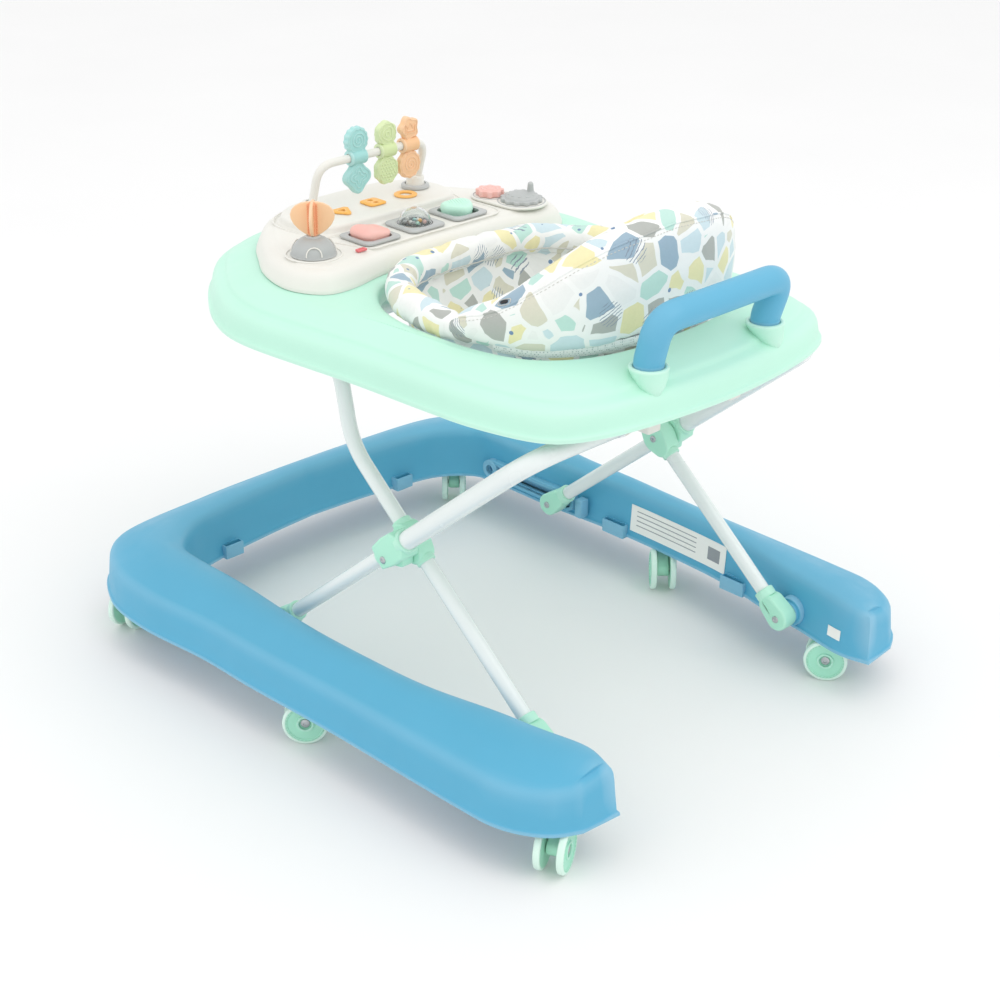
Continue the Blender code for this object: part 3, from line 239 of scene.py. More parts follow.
def bumped(tree, shader, *layers):
    """Bump layers of (height, strength, distance), one on the other."""
    normal = None
    for height, strength, distance in layers:
        step = node(tree, "ShaderNodeBump", {"Height": height, "Strength": strength, "Distance": distance})
        if normal:
            tree.links.new(normal, step.inputs["Normal"])
        normal = step.outputs["Normal"]
    tree.links.new(normal, shader.inputs["Normal"])


def moulded(name, colour, roughness=0.42, grain=0.5, wear=0.30):
    """Moulded plastic: faint clouding, fine spark-eroded grain, edges rubbed paler, handling marks."""
    made, tree, shader, place = new_material(name, colour, roughness)
    cloud = noise_of(tree, place, 11, 4)
    body = mixed(tree, cloud, shade(colour, 0.955), shade(colour, 1.035))
    edge = node(tree, "ShaderNodeNewGeometry").outputs["Pointiness"]
    rubbed = spread(tree, edge, 0.0, wear, 0.505, 0.56)
    body = mixed(tree, rubbed, body, faded(colour, 0.45))
    tree.links.new(body, shader.inputs["Base Color"])
    smear = noise_of(tree, place, 34, 5, 0.62)
    tree.links.new(spread(tree, smear, roughness - 0.06, roughness + 0.10, 0.3, 0.7),
        shader.inputs["Roughness"])
    bumped(tree, shader, (noise_of(tree, place, 7, 2), 0.10, 0.004),
        (noise_of(tree, place, 1500, 2), 0.10 * grain, 0.0002))
    shader.inputs["Specular IOR Level"].default_value = 0.42
    return made


def enamel(name, colour):
    """Glossy powder coat on steel tube: slight orange peel and faint scuffs."""
    made, tree, shader, place = new_material(name, colour, 0.26)
    body = mixed(tree, noise_of(tree, place, 18, 3), shade(colour, 0.985), shade(colour, 1.01))
    scuff = noise_of(tree, place, 150, 6, 0.7)
    body = mixed(tree, spread(tree, scuff, 0.0, 0.06, 0.70, 0.78), body, shade(colour, 0.82))
    tree.links.new(body, shader.inputs["Base Color"])
    tree.links.new(spread(tree, noise_of(tree, place, 14, 2), 0.24, 0.28, 0.3, 0.7),
        shader.inputs["Roughness"])
    bumped(tree, shader, (noise_of(tree, place, 900, 2), 0.05, 0.0002))
    shader.inputs["Coat Weight"].default_value = 0.5
    shader.inputs["Coat Roughness"].default_value = 0.12
    return made


def brushed(name, colour):
    """Zinc-plated steel with fine scratches and a dull bloom."""
    made, tree, shader, place = new_material(name, colour, 0.3)
    body = mixed(tree, noise_of(tree, place, 240, 4), shade(colour, 0.78), colour)
    tree.links.new(body, shader.inputs["Base Color"])
    tree.links.new(spread(tree, noise_of(tree, place, 500, 5, 0.7), 0.2, 0.46, 0.3, 0.7),
        shader.inputs["Roughness"])
    bumped(tree, shader, (noise_of(tree, place, 2600, 3), 0.15, 0.0001))
    shader.inputs["Metallic"].default_value = 1.0
    return made


def clear_plastic(name):
    """Clear dome with faint smears."""
    made, tree, shader, place = new_material(name, (0.93, 0.96, 0.96), 0.06)
    tree.links.new(spread(tree, noise_of(tree, place, 90, 5, 0.7), 0.03, 0.16, 0.35, 0.75),
        shader.inputs["Roughness"])
    bumped(tree, shader, (noise_of(tree, place, 60, 2), 0.05, 0.001))
    shader.inputs["Transmission Weight"].default_value = 1.0
    shader.inputs["IOR"].default_value = 1.42
    return made


PRINT_COLOURS = (                 # the terrazzo shapes, and how much of the print each takes
    (0.14, (238, 231, 184)), (0.27, (180, 183, 178)), (0.41, (192, 226, 216)), (0.53, (206, 225, 231)),
    (0.67, (219, 217, 200)), (0.75, (158, 182, 198)),
)


def printed_cloth(name, ground):
    """Woven polyester printed with loose angular chips, pencil hatching and small dabs."""
    made, tree, shader, place = new_material(name, ground, 0.86)
    scale = 1 / sizes().print_size
    drift = node(tree, "ShaderNodeTexNoise", {"Vector": place, "Scale": 45.0, "Detail": 1.0})
    bent = node(tree, "ShaderNodeVectorMath", {0: place}, operation="ADD")
    shift = node(tree, "ShaderNodeVectorMath", {0: drift.outputs["Color"], "Scale": 0.006},
        operation="SCALE")
    tree.links.new(shift.outputs[0], bent.inputs[1])
    cell = voronoi(tree, bent.outputs[0], scale, 0.9)
    gap = voronoi(tree, bent.outputs[0], scale, 0.9, "DISTANCE_TO_EDGE")
    ramp = node(tree, "ShaderNodeValToRGB", {"Fac": picked(tree, cell, "Red")})
    ramp.color_ramp.interpolation = "CONSTANT"
    stops = ramp.color_ramp.elements
    stops[0].color = (*srgb(*PRINT_COLOURS[0][1]), 1)
    stops[1].position = PRINT_COLOURS[0][0]
    stops[1].color = (*srgb(*PRINT_COLOURS[1][1]), 1)
    for (start, _), (_, rgb) in zip(PRINT_COLOURS[1:], PRINT_COLOURS[2:] + ((0, None),)):
        stop = stops.new(start)
        stop.color = (*(srgb(*rgb) if rgb else ground), 1)
    inside = spread(tree, gap.outputs["Distance"], 0.0, 1.0, 0.085, 0.097)
    mottled = mixed(tree, noise_of(tree, place, 260, 4, 0.7), (0.86, 0.86, 0.86), (1.0, 1.0, 1.0))
    chips = node(tree, "ShaderNodeMix", data_type="RGBA", blend_type="MULTIPLY")
    chips.inputs[0].default_value = 0.55
    tree.links.new(ramp.outputs["Color"], chips.inputs[6])
    tree.links.new(mottled, chips.inputs[7])
    body = mixed(tree, inside, ground, chips.outputs[2])

    hatch = node(tree, "ShaderNodeTexWave", {"Vector": place, "Scale": 150.0, "Distortion": 2.2,
        "Detail": 2.0, "Detail Scale": 1.6},
        wave_type="BANDS", bands_direction="DIAGONAL")
    lines = spread(tree, hatch.outputs["Fac"], 0.0, 1.0, 0.80, 0.92)
    patch = voronoi(tree, place, scale * 0.86)
    here = spread(tree, picked(tree, patch, "Green"), 0.0, 1.0, 0.80, 0.805)
    near = spread(tree, patch.outputs["Distance"], 1.0, 0.0, 0.40, 0.44)
    pencil = product(tree, product(tree, here, near), lines)
    body = mixed(tree, pencil, body, srgb(138, 150, 166))

    dab = voronoi(tree, place, scale * 2.1)
    few = spread(tree, picked(tree, dab, "Blue"), 0.0, 1.0, 0.86, 0.865)
    small = spread(tree, dab.outputs["Distance"], 1.0, 0.0, 0.17, 0.20)
    body = mixed(tree, product(tree, few, small), body, srgb(118, 146, 178))
    tree.links.new(body, shader.inputs["Base Color"])

    warp, weft = (node(tree, "ShaderNodeTexWave", {"Vector": place, "Scale": 360.0}, bands_direction=way)
        for way in ("X", "Z"))
    weave = product(tree, warp.outputs["Fac"], weft.outputs["Fac"])
    bumped(tree, shader, (noise_of(tree, place, 55, 4, 0.6), 0.22, 0.0035),
        (weave, 0.16, 0.0003))
    shader.inputs["Sheen Weight"].default_value = 0.25
    shader.inputs["Sheen Roughness"].default_value = 0.45
    shader.inputs["Specular IOR Level"].default_value = 0.22
    return made


def mesh_cloth(name):
    """White spacer mesh: rows of small round holes in a soft knit, darkened inside as painted shade."""
    made, tree, shader, place = new_material(name, (0.86, 0.87, 0.86), 0.8)
    holes = voronoi(tree, place, 420.0, 0.25)
    # painted shade: each hole is coloured darker to stand for the shade inside it
    hole_shade = spread(tree, holes.outputs["Distance"], 1.0, 0.0, 0.22, 0.36)
    tree.links.new(mixed(tree, hole_shade, (0.84, 0.86, 0.85), (0.46, 0.52, 0.52)), shader.inputs["Base Color"])
    bumped(tree, shader, (holes.outputs["Distance"], 0.5, 0.0008))
    return made


def thread(name, colour):
    """Twisted sewing thread or webbing, with painted shade in the twist's grooves."""
    made, tree, shader, place = new_material(name, colour, 0.75)
    twist = node(tree, "ShaderNodeTexWave", {"Vector": place, "Scale": 900.0, "Distortion": 1.0},
        bands_direction="DIAGONAL")
    # painted shade: the twist's grooves are coloured darker to stand for the shade in them
    tree.links.new(mixed(tree, twist.outputs["Fac"], shade(colour, 0.8), colour), shader.inputs["Base Color"])
    bumped(tree, shader, (twist.outputs["Fac"], 0.3, 0.0003))
    return made


def floor_paint(name):
    made, tree, shader, place = new_material(name, (0.88, 0.88, 0.88), 0.75)
    tree.links.new(mixed(tree, noise_of(tree, place, 2.5, 3), (0.87, 0.87, 0.87), (0.9, 0.9, 0.9)),
        shader.inputs["Base Color"])
    return made


PLASTICS = {                      # material name, roughness, grain and edge wear, in a user's colour
    "base_blue": ("base blue plastic", 0.44, 0.8), "tray_mint": ("tray mint plastic", 0.40, 0.6),
    "fitting_mint": ("fitting mint plastic", 0.34, 0.4), "rim_mint": ("wheel rim plastic", 0.28, 0.3),
    "panel_white": ("panel white plastic", 0.40, 0.5, 0.1), "toy_grey": ("toy grey plastic", 0.42, 0.6),
    "toy_pink": ("toy pink plastic", 0.45, 0.6), "toy_orange": ("toy orange plastic", 0.42, 0.5),
    "toy_teal": ("toy teal plastic", 0.40, 0.5), "toy_lime": ("toy lime plastic", 0.40, 0.5),
    "toy_yellow": ("toy yellow plastic", 0.45, 0.8), "toy_red": ("toy red plastic", 0.36, 0.3),
}
OTHERS = {                        # recipe and material name, in a user's colour
    "tube_white": (enamel, "tube enamel"), "steel": (brushed, "rivet steel"),
    "cloth": (printed_cloth, "printed seat cloth"),
}
FIXED = {                         # finishes whose colour is not for the user
    "clear": (clear_plastic, "clear dome plastic"), "knit": (mesh_cloth, "white spacer mesh"),
    "thread": (thread, "seam thread", srgb(214, 214, 208)),
    "webbing": (thread, "black webbing", (0.03, 0.03, 0.035)),
    "label": (moulded, "blank label film", srgb(244, 244, 240), 0.3, 0.1, 0.0),
    "label_line": (moulded, "label rule ink", srgb(150, 155, 160), 0.5, 0.1, 0.0),
    # painted shade: a dark grey laid on recess floors and in gaps, standing for the shadow in them
    "shadow_grey": (moulded, "recess grey plastic", srgb(116, 121, 121), 0.5, 0.6),
    "orange_deep": (moulded, "spinner core plastic", srgb(240, 150, 84), 0.45, 0.5),
    "deep_mint": (moulded, "wheel mark plastic", srgb(128, 208, 176), 0.4, 0.4),
    "floor": (floor_paint, "studio floor"),
}
made_materials = {}


def finish(name):
    """The material of that name, made once from the chosen colour."""
    if name not in made_materials:
        if name in FIXED:
            recipe, *values = FIXED[name]
        else:
            recipe, label, *values = (moulded, *PLASTICS[name]) if name in PLASTICS else OTHERS[name]
            values = [label, tuple(getattr(colours(), name)), *values]
        made_materials[name] = recipe(*values)
    return made_materials[name]


# Mesh helpers

def catmull(p0, p1, p2, p3, t):
    return 0.5 * ((2 * p1) + (p2 - p0) * t + (2 * p0 - 5 * p1 + 4 * p2 - p3) * t * t
        + (3 * p1 - p0 - 3 * p2 + p3) * t ** 3)


def smooth_path(points, count, closed=False):
    """Points spaced evenly along the smooth curve through a few given ones."""
    points = [Vector(p) for p in points]
    total = len(points)
    dense = []
    for i in range(total if closed else total - 1):
        if closed:
            quad = [points[(i + k) % total] for k in (-1, 0, 1, 2)]
        else:
            quad = [points[min(max(i + k, 0), total - 1)] for k in (-1, 0, 1, 2)]
        dense += [catmull(*quad, step / 24) for step in range(24)]
    dense.append(points[0] if closed else points[-1])
    return even_path(dense, count, closed)


def even_path(dense, count, closed=False):
    lengths = [0.0]
    for a, b in zip(dense, dense[1:]):
        lengths.append(lengths[-1] + (b - a).length)
    samples = []
    index = 0
    for k in range(count):
        target = lengths[-1] * k / (count if closed else count - 1)
        while index < len(dense) - 2 and lengths[index + 1] < target:
            index += 1
        span = lengths[index + 1] - lengths[index]
        share = (target - lengths[index]) / span if span else 0
        samples.append(dense[index].lerp(dense[index + 1], min(max(share, 0), 1)))
    return samples


def flat(points):
    """Points on Z = 0 from (x, y) pairs in mm."""
    return [Vector((x * MM, y * MM, 0)) for x, y in points]


def symmetric_outline(half, count):
    """A closed outline from its +X half, given in mm from front centre to rear centre."""
    side = smooth_path(flat(half), count // 2 + 1)
    return side + [Vector((-p.x, p.y, 0)) for p in reversed(side[1:-1])]


def offset_loop(loop, distance):
    """Move a closed outline inwards, each edge by its own distance, mitred at the corners."""
    total = len(loop)
    moved = []
    for i, here in enumerate(loop):
        u = (here - loop[i - 1]).normalized()
        v = (loop[(i + 1) % total] - here).normalized()
        nu, nv = Vector((-u.y, u.x, 0)), Vector((-v.y, v.x, 0))
        d_before, d_after = distance((i - 1) % total), distance(i)
        cross = nu.x * nv.y - nu.y * nv.x
        if abs(cross) < 0.30:
            moved.append(here + (nu + nv).normalized() * (d_before + d_after) / 2)
        else:
            moved.append(here + Vector(((d_before * nv.y - d_after * nu.y) / cross,
                (nu.x * d_after - nv.x * d_before) / cross, 0)))
    return moved


def raised(ring, z):
    return [at_z(p, z) for p in ring]


def shrunk(loop, inset_mm):
    return offset_loop(loop, lambda i: inset_mm * MM)


def skin(rings, cap_last=False, cap_first=False, closed=True):
    """A surface through rings of equal length, its ends filled if asked."""
    bm = bmesh.new()
    rows = [[bm.verts.new(p) for p in ring] for ring in rings]
    size = len(rows[0])
    for lower, upper in zip(rows, rows[1:]):
        for i in range(size if closed else size - 1):
            j = (i + 1) % size
            bm.faces.new((lower[i], lower[j], upper[j], upper[i]))
    if cap_last:
        bm.faces.new(rows[-1])
    if cap_first:
        bm.faces.new(rows[0][::-1])
    return bm


def facing_out(bm):
    bmesh.ops.recalc_face_normals(bm, faces=bm.faces)
    return bm


def placed(bm, matrix):
    bmesh.ops.transform(bm, matrix=matrix, verts=bm.verts)
    if matrix.determinant() < 0:
        bmesh.ops.reverse_faces(bm, faces=bm.faces)
    return bm


def along(place, axis, roll=0.0):
    """A placing matrix whose Z runs along an axis."""
    turn = Vector(axis).to_track_quat("Z", "Y").to_matrix().to_4x4()
    return Matrix.Translation(place) @ turn @ Matrix.Rotation(roll, 4, "Z")


def lathe(profile, place=(0, 0, 0), axis=(0, 0, 1), sides=40, unit=MM):
    """A turned form from (radius, height) points in mm; a zero radius closes it at a pole."""
    bm = bmesh.new()
    rows = []
    for radius, height in profile:
        if radius == 0:
            rows.append([bm.verts.new((0, 0, height * unit))])
        else:
            rows.append([bm.verts.new((radius * unit * cos(tau * k / sides),
                radius * unit * sin(tau * k / sides),
                height * unit)) for k in range(sides)])
    for a, b in zip(rows, rows[1:]):
        for k in range(sides):
            n = (k + 1) % sides
            ring = [a[k % len(a)], a[n % len(a)], b[n % len(b)], b[k % len(b)]]
            face = [v for i, v in enumerate(ring) if v not in ring[:i]]
            if len(face) > 2:
                bm.faces.new(face)
    return placed(facing_out(bm), along(place, axis))


def slab(outline, thickness, edge=0.0, matrix=Matrix.Identity(4), segments=3):
    """A flat moulded piece from an outline in mm, its edges rounded, standing on Z = 0."""
    bm = bmesh.new()
    base = [bm.verts.new((x * MM, y * MM, 0)) for x, y in outline]
    top = [bm.verts.new((x * MM, y * MM, thickness * MM)) for x, y in outline]
    total = len(outline)
    for i in range(total):
        j = (i + 1) % total
        bm.faces.new((base[i], base[j], top[j], top[i]))
    lids = [bm.faces.new(top), bm.faces.new(base[::-1])]
    facing_out(bm)
    if edge:
        rims = [e for lid in lids for e in lid.edges]
        bmesh.ops.bevel(bm, geom=rims, offset=edge * MM, segments=segments, profile=0.5, affect="EDGES",
            clamp_overlap=True)
    return placed(bm, matrix)


def side_on(way, x, y=0, z=0):
    """A placing matrix that turns a flat outline's X and Y to Y and Z, its thickness along way times X."""
    return Matrix(((0, 0, way, x), (1, 0, 0, y), (0, 1, 0, z), (0, 0, 0, 1)))


def side_slab(outline, x_low, x_high, edge):
    """A slab whose outline is in Y and Z (metres) and whose thickness runs along X."""
    return slab([(y / MM, z / MM) for y, z in outline], (x_high - x_low) / MM, edge, side_on(1, x_low))


def block(lower, upper, edge=0.8, segments=2):
    """A box between two corners in metres, all its edges rounded."""
    bm = bmesh.new()
    bmesh.ops.create_cube(bm, size=1)
    lower, upper = Vector(lower), Vector(upper)
    size = [abs(b - a) for a, b in zip(lower, upper)]
    bmesh.ops.scale(bm, vec=size, verts=bm.verts)
    bmesh.ops.translate(bm, vec=(lower + upper) / 2, verts=bm.verts)
    if edge:
        bmesh.ops.bevel(bm, geom=bm.edges[:], offset=edge * MM, segments=segments, profile=0.5,
            affect="EDGES", clamp_overlap=True)
    return bm


def circle(centre, radius, sides=32, start=0.0):
    return [(centre[0] + radius * cos(start + tau * k / sides),
        centre[1] + radius * sin(start + tau * k / sides)) for k in range(sides)]


def hull_outline(points):
    """The convex outline round a set of flat points, counter-clockwise."""
    points = sorted(set((round(x, 7), round(y, 7)) for x, y in points))

    def half(sequence):
        chain = []
        for p in sequence:
            while len(chain) >= 2:
                (ax, ay), (bx, by) = chain[-2], chain[-1]
                if (bx - ax) * (p[1] - ay) - (by - ay) * (p[0] - ax) > 1e-12:
                    break
                chain.pop()
            chain.append(p)
        return chain[:-1]
    return half(points) + half(reversed(points))


def rounded_square(size, corner, sides=8):
    half = size / 2 - corner
    points = []
    for quarter, (sx, sy) in enumerate(((1, 1), (-1, 1), (-1, -1), (1, -1))):
        for k in range(sides + 1):
            angle = pi / 2 * (quarter + k / sides)
            points.append((sx * half + corner * cos(angle), sy * half + corner * sin(angle)))
    return points


def rounded_route(corners, radius, steps=10):
    """A route through corner points with each inner corner rounded by an arc-like bend."""
    corners = [Vector(c) for c in corners]
    route = [corners[0]]
    for before, here, after in zip(corners, corners[1:], corners[2:]):
        reach = min(radius, (here - before).length * 0.49, (after - here).length * 0.49)
        start = here + (before - here).normalized() * reach
        end = here + (after - here).normalized() * reach
        for step in range(steps + 1):
            t = step / steps
            route.append(start * (1 - t) ** 2 + here * 2 * t * (1 - t) + end * t * t)
    route.append(corners[-1])
    return route


def at_x(point, x):
    return Vector((x, point.y, point.z))


def at_z(point, z):
    return Vector((point.x, point.y, z))


def linked(name, data):
    """A new object of that name in the scene."""
    obj = bpy.data.objects.new(name, data)
    bpy.context.scene.collection.objects.link(obj)
    return obj


def modified(bm, *steps):
    """The bmesh after a few modifiers, each (type, {setting: value})."""
    obj = stand_in(bm)
    for kind, settings in steps:
        step = obj.modifiers.new(kind.lower(), kind)
        for key, value in settings.items():
            setattr(step, key, value)
    return settled(obj)


def stand_in(bm):
    """A scratch object that holds a bmesh."""
    mesh = bpy.data.meshes.new("scratch")
    bm.to_mesh(mesh)
    bm.free()
    return linked("scratch", mesh)


def settled(obj):
    """A plain bmesh of the evaluated object; the object goes."""
    bpy.context.view_layer.update()
    graph = bpy.context.evaluated_depsgraph_get()
    mesh = bpy.data.meshes.new_from_object(obj.evaluated_get(graph))
    bm = bmesh.new()
    bm.from_mesh(mesh)
    bpy.data.meshes.remove(mesh)
    obj.modifiers.clear()
    bpy.data.objects.remove(obj, do_unlink=True)
    return bm


def subdivided(bm, levels=1):
    return modified(bm, ("SUBSURF", {"levels": levels, "render_levels": levels}))


def thickened(bm, wall, offset=-1, even=True):
    return modified(bm, ("SOLIDIFY", {"thickness": wall, "offset": offset, "use_even_offset": even}))


def cut(bm, tools):
    """Take the tools away from a closed bmesh."""
    tool = stand_in(joined(tools))
    result = modified(bm, ("BOOLEAN", {"operation": "DIFFERENCE", "object": tool, "solver": "EXACT"}))
    bpy.data.objects.remove(tool, do_unlink=True)
    return result


def joined(parts):
    whole = bmesh.new()
    for part in parts:
        mesh = bpy.data.meshes.new("scratch")
        part.to_mesh(mesh)
        part.free()
        whole.from_mesh(mesh)
        bpy.data.meshes.remove(mesh)
    return whole


def piece(name, parts, body, replaces=(), angle=38):
    """One finished object at the origin from (bmesh, finish) parts, riding on its body."""
    finishes = []
    meshes = []
    for part, look in parts:
        if look not in finishes:
            finishes.append(look)
        for face in part.faces:
            face.material_index = finishes.index(look)
            face.smooth = True
        meshes.append(part)
    whole = joined(meshes)
    mesh = bpy.data.meshes.new(name)
    whole.to_mesh(mesh)
    whole.free()
    for look in finishes:
        mesh.materials.append(finish(look))
    mesh.set_sharp_from_angle(angle=radians(angle))
    obj = linked(name, mesh)
    if replaces:
        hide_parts(*replaces)
    if body:
        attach(obj, body)
    return obj


# Geometry Nodes: swept lines and scattered small pieces

def new_tree(name, sockets):
    """A node group with a geometry in and out and the named inputs."""
    tree = bpy.data.node_groups.new(name, "GeometryNodeTree")
    tree.interface.new_socket("Geometry", in_out="INPUT", socket_type="NodeSocketGeometry")
    for label, kind, default in sockets:
        item = tree.interface.new_socket(label, in_out="INPUT", socket_type=kind)
        if default is not None:
            item.default_value = default
    tree.interface.new_socket("Geometry", in_out="OUTPUT", socket_type="NodeSocketGeometry")
    return tree, tree.nodes.new("NodeGroupInput").outputs, tree.nodes.new("NodeGroupOutput").inputs


def close_tree(tree, geometry, material_in, out):
    real = node(tree, "GeometryNodeRealizeInstances", {"Geometry": geometry})
    dressed = node(tree, "GeometryNodeSetMaterial", {"Geometry": real.outputs[0], "Material": material_in})
    tree.links.new(dressed.outputs[0], out["Geometry"])


def swept_tree():
    """Sweeps a round section along the edges it is given."""
    tree, given, out = new_tree("swept tube", (
        ("Radius", "NodeSocketFloat", 8 * MM), ("Sides", "NodeSocketInt", 24),
        ("Flatten", "NodeSocketFloat", 1.0), ("Finish", "NodeSocketMaterial", None)))
    path = node(tree, "GeometryNodeMeshToCurve", {"Mesh": given["Geometry"]})
    ring = node(tree, "GeometryNodeCurvePrimitiveCircle", {"Resolution": given["Sides"],
        "Radius": given["Radius"]})
    scale = node(tree, "ShaderNodeCombineXYZ", {"X": 1.0, "Y": given["Flatten"], "Z": 1.0})
    oval = node(tree, "GeometryNodeTransform", {"Geometry": ring.outputs[0], "Scale": scale.outputs[0]})
    sweep = node(tree, "GeometryNodeCurveToMesh", {"Curve": path.outputs[0],
        "Profile Curve": oval.outputs[0], "Fill Caps": True})
    close_tree(tree, sweep.outputs[0], given["Finish"], out)
    return tree


def scatter_tree():
    """Sets one small piece on every point, its Z along 'facing' and its X along 'lie'."""
    tree, given, out = new_tree("scattered pieces", (
        ("Piece", "NodeSocketObject", None), ("Size", "NodeSocketFloat", 1.0),
        ("Variation", "NodeSocketFloat", 0.0), ("Seed", "NodeSocketInt", 11),
        ("Finish", "NodeSocketMaterial", None)))
    one = node(tree, "GeometryNodeObjectInfo", {"Object": given["Piece"]})
    lie = node(tree, "GeometryNodeInputNamedAttribute", {"Name": "lie"}, data_type="FLOAT_VECTOR")
    facing = node(tree, "GeometryNodeInputNamedAttribute", {"Name": "facing"}, data_type="FLOAT_VECTOR")
    first = node(tree, "FunctionNodeAlignRotationToVector", {"Vector": lie.outputs[0]}, axis="X")
    second = node(tree, "FunctionNodeAlignRotationToVector", {"Rotation": first.outputs[0],
        "Vector": facing.outputs[0]},
        axis="Z", pivot_axis="X")
    least = node(tree, "ShaderNodeMath", {0: given["Size"], 1: given["Variation"]}, operation="SUBTRACT")
    most = node(tree, "ShaderNodeMath", {0: given["Size"], 1: given["Variation"]}, operation="ADD")
    size = node(tree, "FunctionNodeRandomValue", data_type="FLOAT")
    tree.links.new(least.outputs[0], size.inputs[2])
    tree.links.new(most.outputs[0], size.inputs[3])
    tree.links.new(given["Seed"], size.inputs["Seed"])
    placed_all = node(tree, "GeometryNodeInstanceOnPoints", {"Points": given["Geometry"],
        "Instance": one.outputs["Geometry"],
        "Rotation": second.outputs[0],
        "Scale": size.outputs[1]})
    close_tree(tree, placed_all.outputs[0], given["Finish"], out)
    return tree


trees = {}


def run_tree(key, build, source, values):
    """Evaluate a node tree on a scratch object and return the plain result."""
    if key not in trees:
        trees[key] = build()
    step = source.modifiers.new(key, "NODES")
    step.node_group = trees[key]
    for item in trees[key].interface.items_tree:
        if item.item_type == "SOCKET" and item.in_out == "INPUT" and item.name in values:
            step[item.identifier] = values[item.name]
    source.update_tag()
    return settled(source)


def swept(path, radius, look, closed=False, sides=None, flatten=1.0):
    """A round bar or cord along a path of points in metres."""
    bm = bmesh.new()
    verts = [bm.verts.new(p) for p in path]
    for a, b in zip(verts, verts[1:]):
        bm.edges.new((a, b))
    if closed:
        bm.edges.new((verts[-1], verts[0]))
    return facing_out(run_tree("swept", swept_tree, stand_in(bm), {
        "Radius": radius, "Sides": sides or sizes().tube_sides, "Flatten": flatten,
        "Finish": finish(look)}))


def scattered(unit, places, look, variation=0.0, seed=11):
    """Copies of a small piece at (place, facing, lie) places."""
    mesh = bpy.data.meshes.new("scratch")
    mesh.from_pydata([tuple(p) for p, _, _ in places], [], [])
    for label, index in (("facing", 1), ("lie", 2)):
        layer = mesh.attributes.new(label, "FLOAT_VECTOR", "POINT")
        layer.data.foreach_set("vector", [c for place in places for c in place[index]])
    source = linked("scratch", mesh)
    tool = stand_in(unit)
    result = run_tree("scatter", scatter_tree, source, {
        "Piece": tool, "Variation": variation, "Seed": seed, "Finish": finish(look)})
    bpy.data.objects.remove(tool, do_unlink=True)
    return result


def rivet():
    """Domed head with a dimple, standing on Z = 0."""
    r = sizes().rivet_radius / MM
    return lathe([(0, 0.9), (0.30 * r, 0.95), (0.42 * r, 1.5), (0.7 * r, 1.45), (0.92 * r, 1.0), (r, 0.35),
        (r, -1.0), (0, -1.0)], sides=24)


# Base moulding

SIDE_STEPS = 110
REAR_STEPS = 8
BASE_PROFILE = (                  # outer inset and height, inner inset and height, up from the lip, in mm
    (0, 0, 0, 0), (0, 2.0, 0, 2.0), (0.3, 3.3, 0.3, 3.3), (1.9, 4.3, 1.8, 4.3), (2.7, 6.2, 2.5, 6.2),
    (3.9, 18, 3.8, 24), (5.2, 31, 5.0, 44), (6.1, 36.6, 5.9, 52), (7.8, 40.6, 7.3, 56.8), (10.6, 43.6, 9.6, 59.8),
    (14.5, 45.8, 12.6, 61.4),
)
CROWN_STEPS = 8                   # across the top of a leg
CROWN_SWELL = 0.36
TRACK_START, TRACK_END = -236 * MM, -79 * MM
TRACK_FACE = 224.5 * MM           # the rails' faces, out from the middle
SLOT_FACE, SLOT_MIDDLE = 216 * MM, -144.5 * MM
BOSS_FACE = 197.6 * MM
POCKET_PLACES = (-18 * MM, 175 * MM)
LABEL_LOW, LABEL_HIGH = 57 * MM, 91 * MM
LABEL_FRONT, LABEL_REAR = 3 * MM, 155 * MM
STICKER_FRONT, STICKER_REAR = 326 * MM, 344 * MM
CORNER_CLEAR = 17 * MM            # no outline points nearer than this to the leg's sharp inner corner


def base_outline():
    """Lip outline of the U, with each edge's share of the inner wall's shape."""
    w = (cad_box[1][0] - cad_box[0][0]) / 2 / MM
    l = (cad_box[1][1] - cad_box[0][1]) / 2 / MM
    inner_x = w - 82
    bar = -l + 74
    outer = [(0, -l), (120, -l + 3), (w - 66, -l + 19), (w - 13, -l + 82), (w, -l + 160), (w - 8, -l + 262),
        (w - 9, -l + 345), (w - 14, l - 290), (w - 16, l - 120), (w - 21, l - 62), (w - 43, l - 22),
        (w - 72, l - 4)]
    rear = [(w - 72, l - 4), (w - 118, l)]
    inner = [(w - 118, l), (w - 124, l - 38), (inner_x - 31, l - 94), (inner_x - 23, l - 143),
        (inner_x - 6, l - 222), (inner_x, l - 296), (inner_x + 2, l - 394), (inner_x - 5, bar + 178),
        (inner_x - 6, bar + 78), (inner_x - 16, bar + 50), (inner_x - 46, bar + 26),
        (inner_x - 87, bar + 15), (inner_x - 163, bar + 5), (0, bar)]
    half, shares = [], []
    corner = Vector((rear[-1][0] * MM, rear[-1][1] * MM, 0))
    for points, steps, share in ((outer, SIDE_STEPS, 0.0), (rear, REAR_STEPS, 0.3), (inner, SIDE_STEPS, 1.0)):
        dense = smooth_path(flat(points), 900)
        clear = [p for p in dense if (p - corner).length > CORNER_CLEAR]
        if share == 0.3:
            half += even_path(clear, steps)
        elif share == 1.0:
            half += [corner] + even_path(clear, steps)[:-1]
        else:
            half += even_path(clear, steps + 1)[:-1]
        shares += [share] * steps
    half.append(Vector((0, bar * MM, 0)))
    return half + [Vector((-p.x, p.y, 0)) for p in reversed(half[1:-1])], shares + shares[::-1]


def softened(shares, rounds=14):
    """Each outline point's share of the inner wall's shape, eased round the leg's end."""
    total = len(shares)
    eased = [(shares[i - 1] + shares[i]) / 2 for i in range(total)]
    for _ in range(rounds):
        eased = [(eased[i - 1] + 2 * eased[i] + eased[(i + 1) % total]) / 4 for i in range(total)]
    return eased


def crown(outer, inner, t):
    """A place across the top of a leg: straight in plan, gently domed in height."""
    place = outer.lerp(inner, t)
    width = (outer - inner).xy.length
    swell = t * (1 - t) * CROWN_SWELL * width
    place.z = outer.z + (inner.z - outer.z) * (3 * t * t - 2 * t ** 3) + swell
    return place


